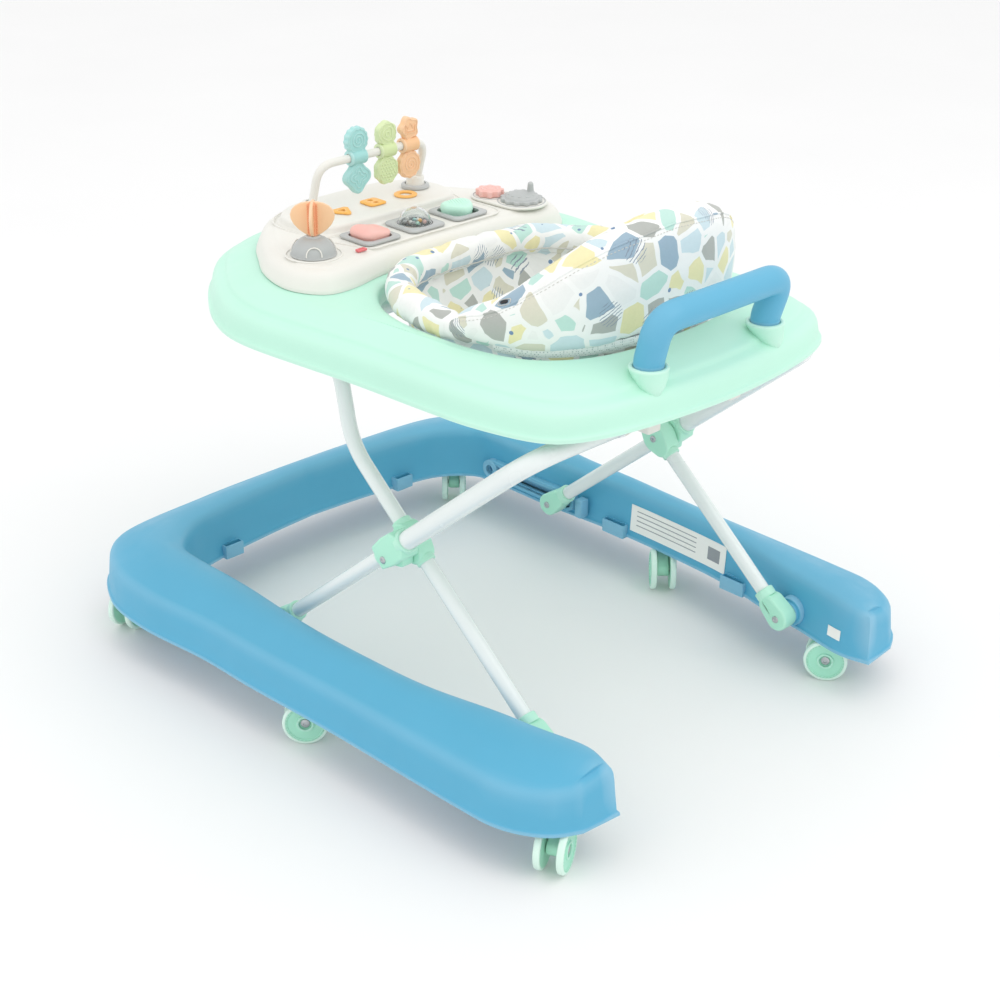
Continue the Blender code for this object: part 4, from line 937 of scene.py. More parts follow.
def base_skin():
    """The moulding's outer surface, from the lip up both walls and over the crown of the U."""
    loop, shares = base_outline()
    total = len(loop)
    half = total // 2
    eased = softened(shares)
    rings = []
    for outer_in, outer_up, inner_in, inner_up in BASE_PROFILE:
        def inset(i):
            share = (eased[i % total] + eased[(i + 1) % total]) / 2
            return (outer_in + (inner_in - outer_in) * share) * MM
        ring = offset_loop(loop, inset)
        for point, share in zip(ring, eased):
            point.z = BASE_LOW + (outer_up + (inner_up - outer_up) * share) * MM
        rings.append(ring)
    bm = skin(rings)
    bm.verts.ensure_lookup_table()
    top = list(bm.verts)[-total:]
    for turn in (1, -1):
        rungs = []
        for i in range(SIDE_STEPS + 1):
            outer, inner = top[turn * i % total], top[turn * (half - i) % total]
            between = [bm.verts.new(crown(outer.co, inner.co, k / CROWN_STEPS)) for k in range(1, CROWN_STEPS)]
            rungs.append([outer] + between + [inner])
        rungs.append([top[turn * (SIDE_STEPS + k) % total] for k in range(REAR_STEPS + 1)])
        for a, b in zip(rungs, rungs[1:]):
            for k in range(CROWN_STEPS):
                ring = [a[k], b[k], b[k + 1], a[k + 1]]
                face = [v for n, v in enumerate(ring) if v not in ring[:n]]
                bm.faces.new(face)
    bmesh.ops.remove_doubles(bm, verts=bm.verts, dist=0.01 * MM)
    return facing_out(bm)


def wall_x(y):
    """Inner face of the left leg's wall at a place along it, well above the lip."""
    loop, shares = base_outline()
    near = [p for p, share in zip(loop, shares) if share == 1.0 and p.x > 0.1]
    near.sort(key=lambda p: p.y)
    for a, b in zip(near, near[1:]):
        if a.y <= y <= b.y:
            return a.lerp(b, (y - a.y) / (b.y - a.y)).x
    return near[-1].x


def stadium(length_mm, half_mm, sides=10):
    points = [(length_mm / 2 + half_mm * cos(a), half_mm * sin(a))
        for a in (pi * (k / sides - 0.5) for k in range(sides + 1))]
    return points + [(-x, -y) for x, y in points]


def track_parts(side):
    """Raised stadium rails round the slider's slot, closed behind, with an eyelet at the front."""
    span = (TRACK_END - TRACK_START) / MM - 24
    turn = side_on(side, side * TRACK_FACE, (TRACK_START + TRACK_END) / 2, FOOT_SLIDER.z)
    parts = []
    for outer, inner, tall, sunk in ((12.0, 7.6, 14, 0), (6.6, 4.6, 11.5, 2.5)):
        band = slab(stadium(span, outer), tall, 0.9)
        hole = slab(stadium(span, inner), 40, 0, Matrix.Translation((0, 0, -10 * MM)))
        parts.append(placed(cut(band, [hole]), turn @ Matrix.Translation((0, 0, sunk * MM))))
    parts.append(block((side * 237 * MM, TRACK_START, FOOT_SLIDER.z - 11 * MM),
        (side * 239.5 * MM, TRACK_END, FOOT_SLIDER.z + 11 * MM)))
    eyelet = Vector((side * 228 * MM, TRACK_START + 12 * MM, FOOT_SLIDER.z))
    parts.append(ring_round(eyelet, (1, 0, 0), 6.0, 12.4, 6))
    return parts


def pocket(side, y, width=34, deep=6):
    """Small open-topped pocket on a leg's inner wall."""
    x = wall_x(y)
    z = BASE_LOW - 2 * MM
    half = width / 2 * MM
    body = block((side * (x - deep * MM), y - half, z), (side * (x + 6 * MM), y + half, z + 17 * MM), 1.4)
    hollow = block((side * (x - (deep - 2) * MM), y - half + 2 * MM, z + 8 * MM),
        (side * (x + 1.5 * MM), y + half - 2 * MM, z + 25 * MM), 0.8)
    return cut(body, [hollow])


def front_pocket(side):
    x, y, z = side * 135 * MM, cad_box[0][1] + 88 * MM, BASE_LOW - 2 * MM
    body = block((x - 13 * MM, y - 10 * MM, z), (x + 13 * MM, y + 6 * MM, z + 17 * MM), 1.4)
    hollow = block((x - 11 * MM, y - 2 * MM, z + 8 * MM), (x + 11 * MM, y + 4 * MM, z + 25 * MM), 0.8)
    return cut(body, [hollow])


def wall_inset(z):
    """How far the inner wall stands back from the lip at a height, in mm."""
    up = (z - BASE_LOW) / MM
    rows = [(row[3], row[2]) for row in BASE_PROFILE]
    for (low_up, low_in), (high_up, high_in) in zip(rows, rows[1:]):
        if low_up <= up <= high_up:
            return low_in + (high_in - low_in) * (up - low_up) / max(high_up - low_up, 0.01)
    return rows[-1][1]


class WALKER_OT_base(bpy.types.Operator):
    """Moulded U base with its lip, slider tracks, pockets, pivot bosses and blank label"""
    bl_idname = "walker.base"
    bl_label = "Base moulding"

    def execute(self, context):
        shell = thickened(base_skin(), sizes().base_wall)
        slots = [slab(stadium(107, 4.6), 26, 0, side_on(side, side * SLOT_FACE, SLOT_MIDDLE, FOOT_SLIDER.z))
            for _, side in SIDES]
        parts = [cut(shell, slots)]
        for _, side in SIDES:
            parts += track_parts(side) + [pocket(side, y) for y in POCKET_PLACES] + [front_pocket(side)]
            face = BOSS_FACE
            parts.append(lathe([(6, 0), (12, 0), (12.6, 0.6), (13, 3), (15.6, 3.4), (16.4, 4.4), (17, 20), (6, 20),
                (6, 0)], at_x(FOOT_REAR, side * face), (side, 0, 0)))
            for drop in (-6, 0, 6):
                parts.append(block(
                    (side * (face + 4 * MM), FOOT_REAR.y - 30 * MM, FOOT_REAR.z + drop * MM - 1 * MM),
                    (side * (face + 16 * MM), FOOT_REAR.y - 14 * MM, FOOT_REAR.z + drop * MM + 1 * MM)))
            parts.append(block((side * 219 * MM, -72 * MM, FOOT_SLIDER.z - 12 * MM),
                (side * 233 * MM, -61 * MM, FOOT_SLIDER.z + 12 * MM), 2))
        for name in CORNERS:
            parts.append(lathe([(7, 0.6), (11.5, 0.6), (12.2, 1.4), (12.6, 8), (9, 26), (5.4, 26), (5.4, 0.6),
                (7, 0.6)], joint_place("swivel_" + name)))
        piece("base_moulding", [(part, "base_blue") for part in parts], "base", ["base_shell"])
        self.labels()
        return {"FINISHED"}

    def labels(self):
        """A plain pale label with a few rules, and a small blank sticker, on the right leg's inner wall."""
        step = (LABEL_REAR - LABEL_FRONT) / 16
        columns = [LABEL_FRONT + step * k for k in range(17)]
        parts = [(self.film(columns, LABEL_LOW, LABEL_HIGH, 0.5), "label")]
        for k in range(4):
            z = LABEL_HIGH - (6 + 6 * k) * MM
            parts.append((self.film(columns[1:12], z - 1.0 * MM, z, 0.75), "label_line"))
        parts.append((self.film(columns[13:16], LABEL_LOW + 9 * MM, LABEL_HIGH - 9 * MM, 0.75), "label_line"))
        sticker = [STICKER_FRONT + (STICKER_REAR - STICKER_FRONT) * k / 4 for k in range(5)]
        parts.append((self.film(sticker, 62 * MM, 74 * MM, 0.5), "label"))
        piece("blank_labels", parts, "base", ())

    def film(self, ys, lower, upper, lift):
        """A strip laid on the wall, which leans outwards as it rises."""
        bm = bmesh.new()
        rows = []
        for y in ys:
            x = -wall_x(y)
            rows.append([bm.verts.new((x - (wall_inset(z) - lift) * MM, y, z))
                for z in (lower, (lower + upper) / 2, upper)])
        for a, b in zip(rows, rows[1:]):
            for k in range(2):
                bm.faces.new((a[k], b[k], b[k + 1], a[k + 1]))
        return thickened(bm, 0.35 * MM, 0)


# Casters

def caster_disc():
    """One wheel disc of 25 mm radius, its axle along +X, outer face outwards, as (bmesh, finish) parts."""
    inner, outer = 8.0, 15.0
    body = [(0, inner), (22.0, inner), (22.4, inner + 0.4), (22.4, outer - 0.9), (21.6, outer - 0.5), (19.6,
        outer - 0.5),
        (19.0, outer - 1.3), (10.2, outer - 1.7), (9.4, outer - 0.3), (7.6, outer - 0.1), (7.0, outer - 0.6),
        (6.6, outer - 3.2), (0, outer - 3.2)]
    rim = [(21.8, inner + 0.1), (23.6, inner), (24.7, inner + 0.8), (25.0, inner + 2.0), (25.0, outer - 2.0),
        (24.6, outer - 0.8), (23.6, outer - 0.1), (21.8, outer - 0.1), (21.8, inner + 0.1)]
    screw = [(0, outer - 1.7), (1.6, outer - 1.6), (1.9, outer - 1.0), (4.2, outer - 1.2), (5.2, outer - 1.9),
        (5.4, outer - 3.4), (0, outer - 3.4)]
    axis = (1, 0, 0)
    tick = block((-1.3 * MM, -0.35 * MM, -0.5 * MM), (1.3 * MM, 0.35 * MM, 0.35 * MM), 0.2, 1)
    places = []
    for k in range(32):
        a = tau * k / 32
        out = Vector((0, cos(a), sin(a)))
        places.append((out * 20.6 * MM + Vector(((outer - 0.5) * MM, 0, 0)), (1, 0, 0), out.cross(Vector(axis))))
    return [(lathe(body, axis=axis, sides=56), "fitting_mint"), (lathe(rim, axis=axis, sides=56), "rim_mint"),
        (lathe(screw, axis=axis, sides=28), "steel"), (scattered(tick, places, "deep_mint", 0.06), "deep_mint")]


class WALKER_OT_casters(bpy.types.Operator):
    """Six swivel casters, each a housing on its stem and a pair of discs"""
    bl_idname = "walker.casters"
    bl_label = "Casters"

    def execute(self, context):
        disc = caster_disc()
        for name in CORNERS:
            stem = joint_place("swivel_" + name)
            axle = joint_place("roll_" + name)
            axis = Vector(JOINTS["roll_" + name]["axis"])
            turn = Matrix.Translation(axle) @ Matrix.Rotation(atan2(axis.y, axis.x), 4, "Z")
            size = Matrix.Diagonal((1, axle.z / (25 * MM), axle.z / (25 * MM), 1))
            parts = []
            for part, look in disc:
                parts.append((placed(part.copy(), turn @ size), look))
                parts.append((placed(part.copy(), turn @ size @ Matrix.Rotation(pi, 4, "Z")), look))
            parts.append((lathe([(0, -13), (2.8, -13), (2.8, 13), (0, 13)], axle, axis, 20), "steel"))
            piece("wheel_pair_" + name, parts, "wheels_" + name, ["caster_wheels_" + name])
            self.housing(name, stem, turn)
        return {"FINISHED"}

    def housing(self, name, stem, turn):
        """Web between the discs, round top plate and stem, and a collar round the axle."""
        axle_z = turn.translation.z
        top = 2 * axle_z + 0.8 * MM
        trail = (turn.translation - stem).xy.length
        web = circle((0, 0), 8.2 * MM, 36)
        web += [(-trail - 7.2 * MM, top - axle_z), (-trail + 9 * MM, top - axle_z),
            (-trail - 7.2 * MM, top - axle_z - 11 * MM)]
        body = side_slab(hull_outline(web), -7.0 * MM, 7.0 * MM, 1.6)
        hole = lathe([(0, -30), (3.4, -30), (3.4, 30), (0, 30)], axis=(1, 0, 0), sides=24)
        parts = [(placed(cut(body, [hole]), turn), "fitting_mint")]
        plate = [(0, 0), (11.2, 0), (12.2, 0.8), (12.2, 2.4), (11.4, 3.2), (5.4, 3.4), (5.4, 28), (4.8, 29), (0,
            29)]
        parts.append((lathe(plate, at_z(stem, top - 0.1 * MM)), "fitting_mint"))
        collar = [(7.4, -6.4), (8.8, -6.4), (9.2, -5.8), (9.2, 5.8), (8.8, 6.4), (7.4, 6.4), (7.4, -6.4)]
        ring = lathe([(r * 0.62, h) for r, h in collar], turn.translation, turn.to_3x3() @ Vector((1, 0, 0)))
        parts.append((ring, "fitting_mint"))
        piece("caster_fork_" + name, parts, "caster_" + name, ["caster_housing_" + name])


# Scissor frame

THIN_TUBE, THICK_TUBE = 8 * MM, 10 * MM


def fitting(shapes, side, near, far, edge):
    """A moulded fitting: the hull round (centre, radius) discs in Y and Z, between two places along X."""
    points = []
    for centre, radius in shapes:
        points += circle((centre.y, centre.z), radius, 40)
    return side_slab(hull_outline(points), *sorted((side * near, side * far)), edge)


def ring_round(place, axis, inner, outer, width, edge=0.8):
    """A short moulded sleeve round a tube."""
    return lathe([(inner, -width), (outer - edge, -width), (outer, -width + edge), (outer, width - edge),
        (outer - edge, width), (inner, width), (inner, -width)], place, axis, 36)


class WALKER_OT_frame(bpy.types.Operator):
    """Scissor frame of white tubes with moulded feet, sliders and cross joints"""
    bl_idname = "walker.frame"
    bl_label = "Scissor frame"

    def execute(self, context):
        arm_x = middle("lower_arm_left").x
        hoop_x = high("front_arm_hoop").x - THIN_TUBE
        split_x = low("cross_block_left").x
        self.tubes(arm_x, hoop_x)
        rivets = {"front_frame": [], "slider_frame": [], "slider_pair": []}
        for tag, side in SIDES:
            self.cross_joint(tag, side, arm_x, hoop_x, split_x, rivets)
            self.feet(tag, side, arm_x, hoop_x, rivets)
        for body, places in rivets.items():
            heads = scattered(rivet(), places, "steel", 0.03, 5)
            piece("rivets_" + body, [(heads, "steel")], body, ())
        return {"FINISHED"}

    def tubes(self, arm_x, hoop_x):
        for tag, side in SIDES:
            ends = [at_x(FOOT_SLIDER + UP * 8 * MM, side * arm_x), at_x(CROSS - UP * 2 * MM, side * arm_x)]
            bar = swept([ends[0].lerp(ends[1], k / 6) for k in range(7)], THIN_TUBE, "tube_white")
            piece("lower_tube_" + tag, [(bar, "tube_white")], "slider_frame", ["lower_arm_" + tag])
        corners = [at_x(CROSS + UP * 2 * MM, arm_x), at_x(TRAY_HINGE, arm_x), at_x(TRAY_HINGE, -arm_x),
            at_x(CROSS + UP * 2 * MM, -arm_x)]
        hoop = swept(rounded_route(corners, 45 * MM, 14), THICK_TUBE, "tube_white")
        piece("upper_tube_hoop", [(hoop, "tube_white")], "slider_frame", ["upper_arm_hoop"])
        elbow = CROSS - DOWN * ((FOOT_REAR - CROSS).length * 0.485)
        top = Vector((0, elbow.y - 18 * MM, TRAY_LOW - 12 * MM))
        bar = Vector((0, elbow.y - 70 * MM, TRAY_LOW + 5 * MM))
        half = [FOOT_REAR - DOWN * 8 * MM, elbow, top, bar]
        corners = [at_x(c, hoop_x) for c in half] + [at_x(c, -hoop_x) for c in reversed(half)]
        hoop = swept(rounded_route(corners, 26 * MM, 10), THIN_TUBE, "tube_white")
        piece("front_tube_hoop", [(hoop, "tube_white")], "front_frame", ["front_arm_hoop"])

    def cross_joint(self, tag, side, arm_x, hoop_x, split_x, rivets):
        """The block that seats both outboard tubes, and the sleeve round the inboard one."""
        across = Vector((0, -UP.z, UP.y))
        shape = [(-19, -10, 3), (-19, 10, 3), (-2, -12.5, 3), (-2, 12.5, 3), (13, -11, 4), (13, 11, 4),
            (18, -7, 3), (18, 7, 3)]
        discs = [(CROSS + UP * a * MM + across * b * MM, r * MM) for a, b, r in shape]
        outer = arm_x + 11.5 * MM
        parts = [(fitting(discs, side, split_x, outer, 2.4), "fitting_mint")]
        fin = [(CROSS - UP * 14 * MM - across * 8 * MM, 5 * MM), (CROSS - UP * 2 * MM - across * 16 * MM, 4 * MM),
            (CROSS + UP * 6 * MM - across * 8 * MM, 4 * MM)]
        parts.append((fitting(fin, side, split_x, arm_x + 2 * MM, 1.4), "fitting_mint"))
        centre = at_x(CROSS, side * arm_x)
        parts.append((ring_round(centre - UP * 21 * MM, UP, 8.1, 10.6, 4), "fitting_mint"))
        parts.append((ring_round(centre + UP * 20 * MM, UP, 10.1, 12.6, 4.5), "fitting_mint"))
        piece("cross_joint_" + tag, parts, "slider_frame", ["cross_block_" + tag])
        place = at_x(CROSS - UP * 12 * MM - across * 5 * MM, side * outer)
        rivets["slider_frame"].append((place, (side, 0, 0), (0, 0, 1)))
        discs = [(CROSS, 16.6 * MM), (CROSS + DOWN * 12 * MM, 12 * MM), (CROSS - DOWN * 10 * MM, 12 * MM)]
        inner = hoop_x - 10.4 * MM
        parts = [(fitting(discs, side, inner, split_x - 0.6 * MM, 2.2), "fitting_mint")]
        centre = at_x(CROSS, side * hoop_x)
        for way in (-1, 1):
            parts.append((ring_round(centre + DOWN * way * (21 if way < 0 else 23) * MM, DOWN, 8.1, 10.2, 3.5),
                "fitting_mint"))
        piece("cross_sleeve_" + tag + "_moulding", parts, "front_frame", ["cross_sleeve_" + tag])
        rivets["front_frame"].append((at_x(CROSS, side * inner), (-side, 0, 0), (0, 0, 1)))

    def feet(self, tag, side, arm_x, hoop_x, rivets):
        """Feet at the tubes' low ends, and the slider discs in their tracks."""
        half = 9.4 * MM
        foot = [(FOOT_SLIDER, 13.6 * MM), (FOOT_SLIDER + UP * 17 * MM, 11.4 * MM)]
        parts = [(fitting(foot, side, arm_x - half, arm_x + half, 2.4), "fitting_mint")]
        centre = at_x(FOOT_SLIDER, side * arm_x)
        parts.append((ring_round(centre + UP * 30 * MM, UP, 8.1, 10.8, 5), "fitting_mint"))
        piece("slider_foot_moulding_" + tag, parts, "slider_frame", ["slider_foot_" + tag])
        rivets["slider_frame"].append((at_x(FOOT_SLIDER, side * (arm_x - half)), (-side, 0, 0), (0, 0, 1)))
        face = high("slider_foot_left").x + 0.3 * MM
        disc = lathe([(0, 0), (11.6, 0), (12.8, 0.8), (12.8, 3.4), (12.0, 4.2), (0, 4.2)],
            at_x(FOOT_SLIDER, side * face), (side, 0, 0))
        key = block((side * (face + 3 * MM), FOOT_SLIDER.y - 8 * MM, FOOT_SLIDER.z - 3.7 * MM),
            (side * (face + 14.5 * MM), FOOT_SLIDER.y + 8 * MM, FOOT_SLIDER.z + 3.7 * MM), 1.2)
        piece("slider_disc_" + tag, [(disc, "fitting_mint"), (key, "fitting_mint")], "slider_pair",
            ["slider_" + tag])
        rivets["slider_pair"].append((at_x(FOOT_SLIDER, side * face) + Vector((0, 8 * MM, 7 * MM)),
            (-side, 0, 0), (0, 0, 1)))
        half = 10.4 * MM
        foot = [(FOOT_REAR, 13.8 * MM), (FOOT_REAR - DOWN * 17 * MM, 11.6 * MM)]
        parts = [(fitting(foot, side, hoop_x - half, hoop_x + half, 2.6), "fitting_mint")]
        centre = at_x(FOOT_REAR, side * hoop_x)
        parts.append((ring_round(centre - DOWN * 30 * MM, DOWN, 8.1, 11.0, 5), "fitting_mint"))
        parts.append((lathe([(0, 0), (5, 0), (5, 9.4), (4, 10), (0, 10)], at_x(FOOT_REAR,
            side * (hoop_x + half - MM)),
            (side, 0, 0)), "steel"))
        for k in range(3):
            spot = centre - DOWN * (12 + 4 * k) * MM
            ends = [(spot + Vector((0, -6 * MM, 4 * MM)), 0.8 * MM), (spot + Vector((0, 4 * MM, -6 * MM)),
                0.8 * MM)]
            parts.append((fitting(ends, side, hoop_x - half - 0.7 * MM, hoop_x, 0.3), "fitting_mint"))
        piece("rear_foot_moulding_" + tag, parts, "front_frame", ["rear_foot_" + tag])
        rivets["front_frame"].append((at_x(FOOT_REAR, side * (hoop_x - half)), (-side, 0, 0), (0, 0, 1)))


# Tray

TRAY_PROFILE = (                  # inset from the lip and height above it, in mm
    (0, 0), (0, 2.6), (0.4, 4.4), (2.4, 5.4), (3.4, 8), (5.2, 19), (7.4, 24.4), (11.5, 28), (17, 30),
    (19.6, 31.4), (21.6, 34.6), (25.5, 36.6), (34, 39.6), (46, 43.4), (56, 44.8), (66, 45),
)
TRAY_POINTS = 92


def tray_outline(count=TRAY_POINTS):
    w, front, rear = high("tray").x / MM, low("tray").y / MM, high("tray").y / MM
    return symmetric_outline([
        (0, front), (w - 168, front + 5), (w - 96, front + 40), (w - 38, front + 112), (w - 8, front + 172),
        (w, front + 222), (w - 6, front + 300), (w - 13, rear - 274), (w - 18, rear - 180), (w - 24, rear - 115),
        (w - 46, rear - 46), (w - 89, rear - 20), (w - 145, rear - 8), (w - 200, rear - 2), (0, rear)], count)


def opening_outline(inset=0.0, count=TRAY_POINTS):
    w, front, rear = 165 - inset, -58 + inset, 250 - inset
    return symmetric_outline([
        (0, front), (w - 95, front + 2), (w - 50, front + 20), (w - 18, front + 58), (w - 2, front + 108),
        (w, front + 168), (w - 6, rear - 90), (w - 25, rear - 45), (w - 65, rear - 15), (w - 115, rear - 2),
        (0, rear)], count)


class WALKER_OT_tray(bpy.types.Operator):
    """Mint tray with stepped skirt and seat opening, its under-clips and the push handle"""
    bl_idname = "walker.tray"
    bl_label = "Tray and push handle"

    def execute(self, context):
        loop = tray_outline()
        rings = [raised(shrunk(loop, inset), TRAY_LOW + up * MM) for inset, up in TRAY_PROFILE[:-1]]
        for inset, drop in ((-14, 0), (-7, 0), (-3.5, 0.4), (-1.2, 2.2), (-0.3, 6), (0, 17)):
            rings.append(raised(opening_outline(inset), TRAY_TOP - drop * MM))
        shell = thickened(subdivided(skin(rings), 1), sizes().tray_wall)
        rim = swept(raised(opening_outline(-1.2), TRAY_TOP - 17.4 * MM), 1.9 * MM, "tray_mint", True, 10)
        piece("tray_moulding", [(shell, "tray_mint"), (rim, "tray_mint")], "tray", ["tray"], 50)
        for tag, side in SIDES:
            self.clip(tag, side)
            self.rail(tag, side)
        self.handle()
        return {"FINISHED"}

    def clip(self, tag, side):
        """White block that hangs from the tray and holds the U tube."""
        lower, upper = low("rear_clip_" + tag), high("rear_clip_" + tag)
        centre = (lower + upper) / 2
        body = block(lower, upper, 2.0, 3)
        bore = lathe([(0, -30), (10.4, -30), (10.4, 30), (0, 30)], at_x(TRAY_HINGE, centre.x), (1, 0, 0), 32)
        parts = [(cut(body, [bore]), "panel_white")]
        for k in (-1, 1):
            x = centre.x + k * 4.5 * MM
            rib = block((x - 0.8 * MM, lower.y - 1.4 * MM, lower.z + 3 * MM),
                (x + 0.8 * MM, lower.y + 2 * MM, upper.z - 4 * MM), 0.4, 1)
            parts.append((rib, "panel_white"))
        piece("rear_clip_moulding_" + tag, parts, "tray", ["rear_clip_" + tag])

    def rail(self, tag, side):
        """Toothed rail under the tray's front that the front hoop's bar latches to."""
        lower, upper = low("adjuster_rail_" + tag), high("adjuster_rail_" + tag)
        body = block(lower, upper, 1.4)
        notches = []
        for k in range(3):
            y = lower.y + (30 + 26 * k) * MM
            notches.append(lathe([(0, -30), (6, -30), (6, 30), (0, 30)],
                Vector(((lower.x + upper.x) / 2, y, lower.z)), (1, 0, 0), 24))
        piece("adjuster_rail_moulding_" + tag, [(cut(body, notches), "fitting_mint")], "tray",
            ["adjuster_rail_" + tag])

    def handle(self):
        """Blue push handle whose legs stand in two collars moulded out of the tray."""
        x = middle("handle_collar_left").x
        y = middle("handle_collar_left").y
        rise = high("push_handle").z - 16.5 * MM
        leg = [(x, y, TRAY_TOP + 3 * MM), (x, y, TRAY_TOP + 9 * MM), (x + 2 * MM, y + 12 * MM, rise)]
        corners = leg + [(0, y + 16 * MM, rise + 2 * MM)] + [(-a, b, c) for a, b, c in reversed(leg)]
        bar = swept(rounded_route(corners, 36 * MM, 14), 14.5 * MM, "base_blue", sides=36)
        parts = [(bar, "base_blue")]
        underside = [Vector(p) + Vector((0, -9.5 * MM, -10.4 * MM)) for p in rounded_route(
            [(70 * MM, y + 12 * MM, rise), (0, y + 16 * MM, rise + 2 * MM), (-70 * MM, y + 12 * MM, rise)], 30 * MM,
            8)]
        parts.append((swept(underside, 0.8 * MM, "base_blue", sides=8), "base_blue"))
        piece("push_handle_bar", parts, "tray", ["push_handle"], 60)
        for tag, side in SIDES:
            collar = self.collar(Vector((side * x, y, TRAY_TOP)), side)
            piece("handle_collar_moulding_" + tag, [(collar, "tray_mint")], "tray", ["handle_collar_" + tag],
                60)

    def collar(self, centre, side):
        """A level rim round the handle's foot; its cone leans out and dies into the sloping tray edge."""
        bm = lathe([(0, -24), (7, -22), (13, -14), (17.2, -5), (19.0, 0.6), (19.4, 2.2), (18.8, 3.4), (17.4, 4.0),
            (15.6, 3.7), (14.8, 2.6), (14.6, 1.2), (0, 1.2)], sides=64)
        for v in bm.verts:
            lean = max(0.0, -v.co.z) * 0.42
            v.co.x += side * 0.30 * lean
            v.co.y += 0.95 * lean
        return placed(bm, Matrix.Translation(centre))


# Toy panel

def panel_outline(count=112):
    w, front, rear = high("toy_panel").x / MM, -272, -67
    return symmetric_outline([
        (0, front), (w - 110, front + 8), (w - 62, front + 46), (w - 36, front + 82), (w - 12, front + 122),
        (w, rear - 38), (w - 6, rear - 8), (w - 24, rear + 12), (w - 58, rear + 12), (w - 94, rear + 3),
        (w - 132, rear - 1), (0, rear)], count)


def platform_outline(inset=0.0, count=72):
    w, front, rear = 106 - inset, -246 + inset, -146 - inset
    return symmetric_outline([
        (0, front), (w - 40, front + 4), (w - 8, front + 24), (w, front + 55), (w - 8, rear - 12),
        (w - 30, rear), (0, rear)], count)


def mound(outline_at, profile, bottom):
    """A closed soft-edged form from an outline that shrinks as it rises; profile in mm."""
    rings = [raised(outline_at(inset), bottom + up * MM) for inset, up in profile]
    return skin(rings, cap_last=True, cap_first=True)


def arc_outline(points, count):
    """A closed smooth outline through points in mm."""
    return smooth_path(flat(points), count, closed=True)


class WALKER_OT_panel(bpy.types.Operator):
    """White toy panel with a raised pad round the toys and an upper platform"""
    bl_idname = "walker.panel"
    bl_label = "Toy panel"

    def execute(self, context):
        loop = panel_outline()
        profile = ((0, 0), (0, 2.6), (0.8, 4.6), (2.6, 8.5), (4.6, 13.2), (7.6, 17.2), (12, 19.9), (17.5, 21.0),
            (19.2, 21.4), (20.4, 22.4), (22, 23))
        rings = [raised(shrunk(loop, inset), PANEL_LOW + up * MM) for inset, up in profile]
        shell = thickened(subdivided(skin(rings, cap_last=True), 1), sizes().panel_wall)
        wells = []
        for x in (middle("wave_button").x, middle("heart_button").x):
            y = middle("wave_button").y
            wells.append(block((x - 20 * MM, y - 20 * MM, PANEL_TOP - 12 * MM),
                (x + 20 * MM, y + 20 * MM, PANEL_TOP + 12 * MM), 6, 4))
        parts = [(cut(shell, wells), "panel_white")]
        rise = (PLATFORM_TOP - PANEL_TOP) / MM
        step = ((-2.6, -1), (-2.2, 0.1), (-1.0, 0.7), (0.0, 2.0), (0.5, rise - 3.2), (1.4, rise - 1.2),
            (3.4, rise - 0.2), (6, rise))
        parts.append((mound(platform_outline, step, PANEL_TOP), "panel_white"))
        lip = raised(platform_outline(-5.5), PANEL_TOP)
        parts.append((swept(lip, 0.9 * MM, "panel_white", True, 10), "panel_white"))
        for ring in self.pads():
            parts.append((swept(ring, 1.1 * MM, "panel_white", True, 10, 0.8), "panel_white"))
        piece("toy_panel_moulding", parts, "tray", ["toy_panel"], 40)
        return {"FINISHED"}

    def pads(self):
        """Soft raised lines that run round the dome, the buttons and the gears."""
        spin = middle("spinner_base")
        z = PANEL_TOP + 0.1 * MM
        ring = [Vector((spin.x + 29 * MM * cos(a), spin.y + 29 * MM * sin(a), z))
            for a in (tau * k / 56 for k in range(56))]
        band = arc_outline([(112, -146), (60, -143), (0, -142), (-60, -143), (-98, -140), (-106, -112),
            (-98, -86), (-60, -84), (0, -84), (60, -84), (84, -84), (92, -96), (100, -120)], 120)
        return ring, raised(band, z)


# Toys on the panel

def dotted_button(x, y, z):
    """Rounded three-cornered button with rows of raised dots; the triangle's point is towards +Y."""
    def outline(shrink):
        points = []
        for k in range(60):
            a = tau * k / 60
            reach = 17.6 * (1 + 0.10 * cos(3 * (a - pi / 2)) + 0.03 * cos(2 * a)) * shrink
            points.append(Vector((x + reach * cos(a) * 1.03 * MM, y + reach * sin(a) * 0.96 * MM, z)))
        return points
    rings = []
    for shrink, up in ((0.95, -4.8), (0.96, 1), (1.0, 3), (1.0, 5.4), (0.965, 7.4), (0.9, 8.6), (0.75, 9.2), (0.4,
            9.5)):
        rings.append([at_z(p, z + up * MM) for p in outline(shrink)])
    body = skin(rings, cap_last=True, cap_first=True)
    dot = lathe([(0, 0.7), (0.6, 0.6), (1.0, 0.2), (1.1, -0.6), (0, -0.6)], sides=10)
    places = []
    for row in range(-4, 5):
        for col in range(-4, 5):
            px, py = (col + 0.5 * (row % 2)) * 3.6, row * 3.3
            reach = hypot(px, py)
            a = atan2(py, px)
            if reach < 13.6 * (1 + 0.10 * cos(3 * (a - pi / 2))):
                up = 9.5 - 0.9 * (reach / 14) ** 3
                places.append(((x + px * MM, y + py * MM, z + up * MM), (0, 0, 1), (1, 0, 0)))
    return [(body, "tray_mint"), (scattered(dot, places, "tray_mint", 0.05), "tray_mint")]


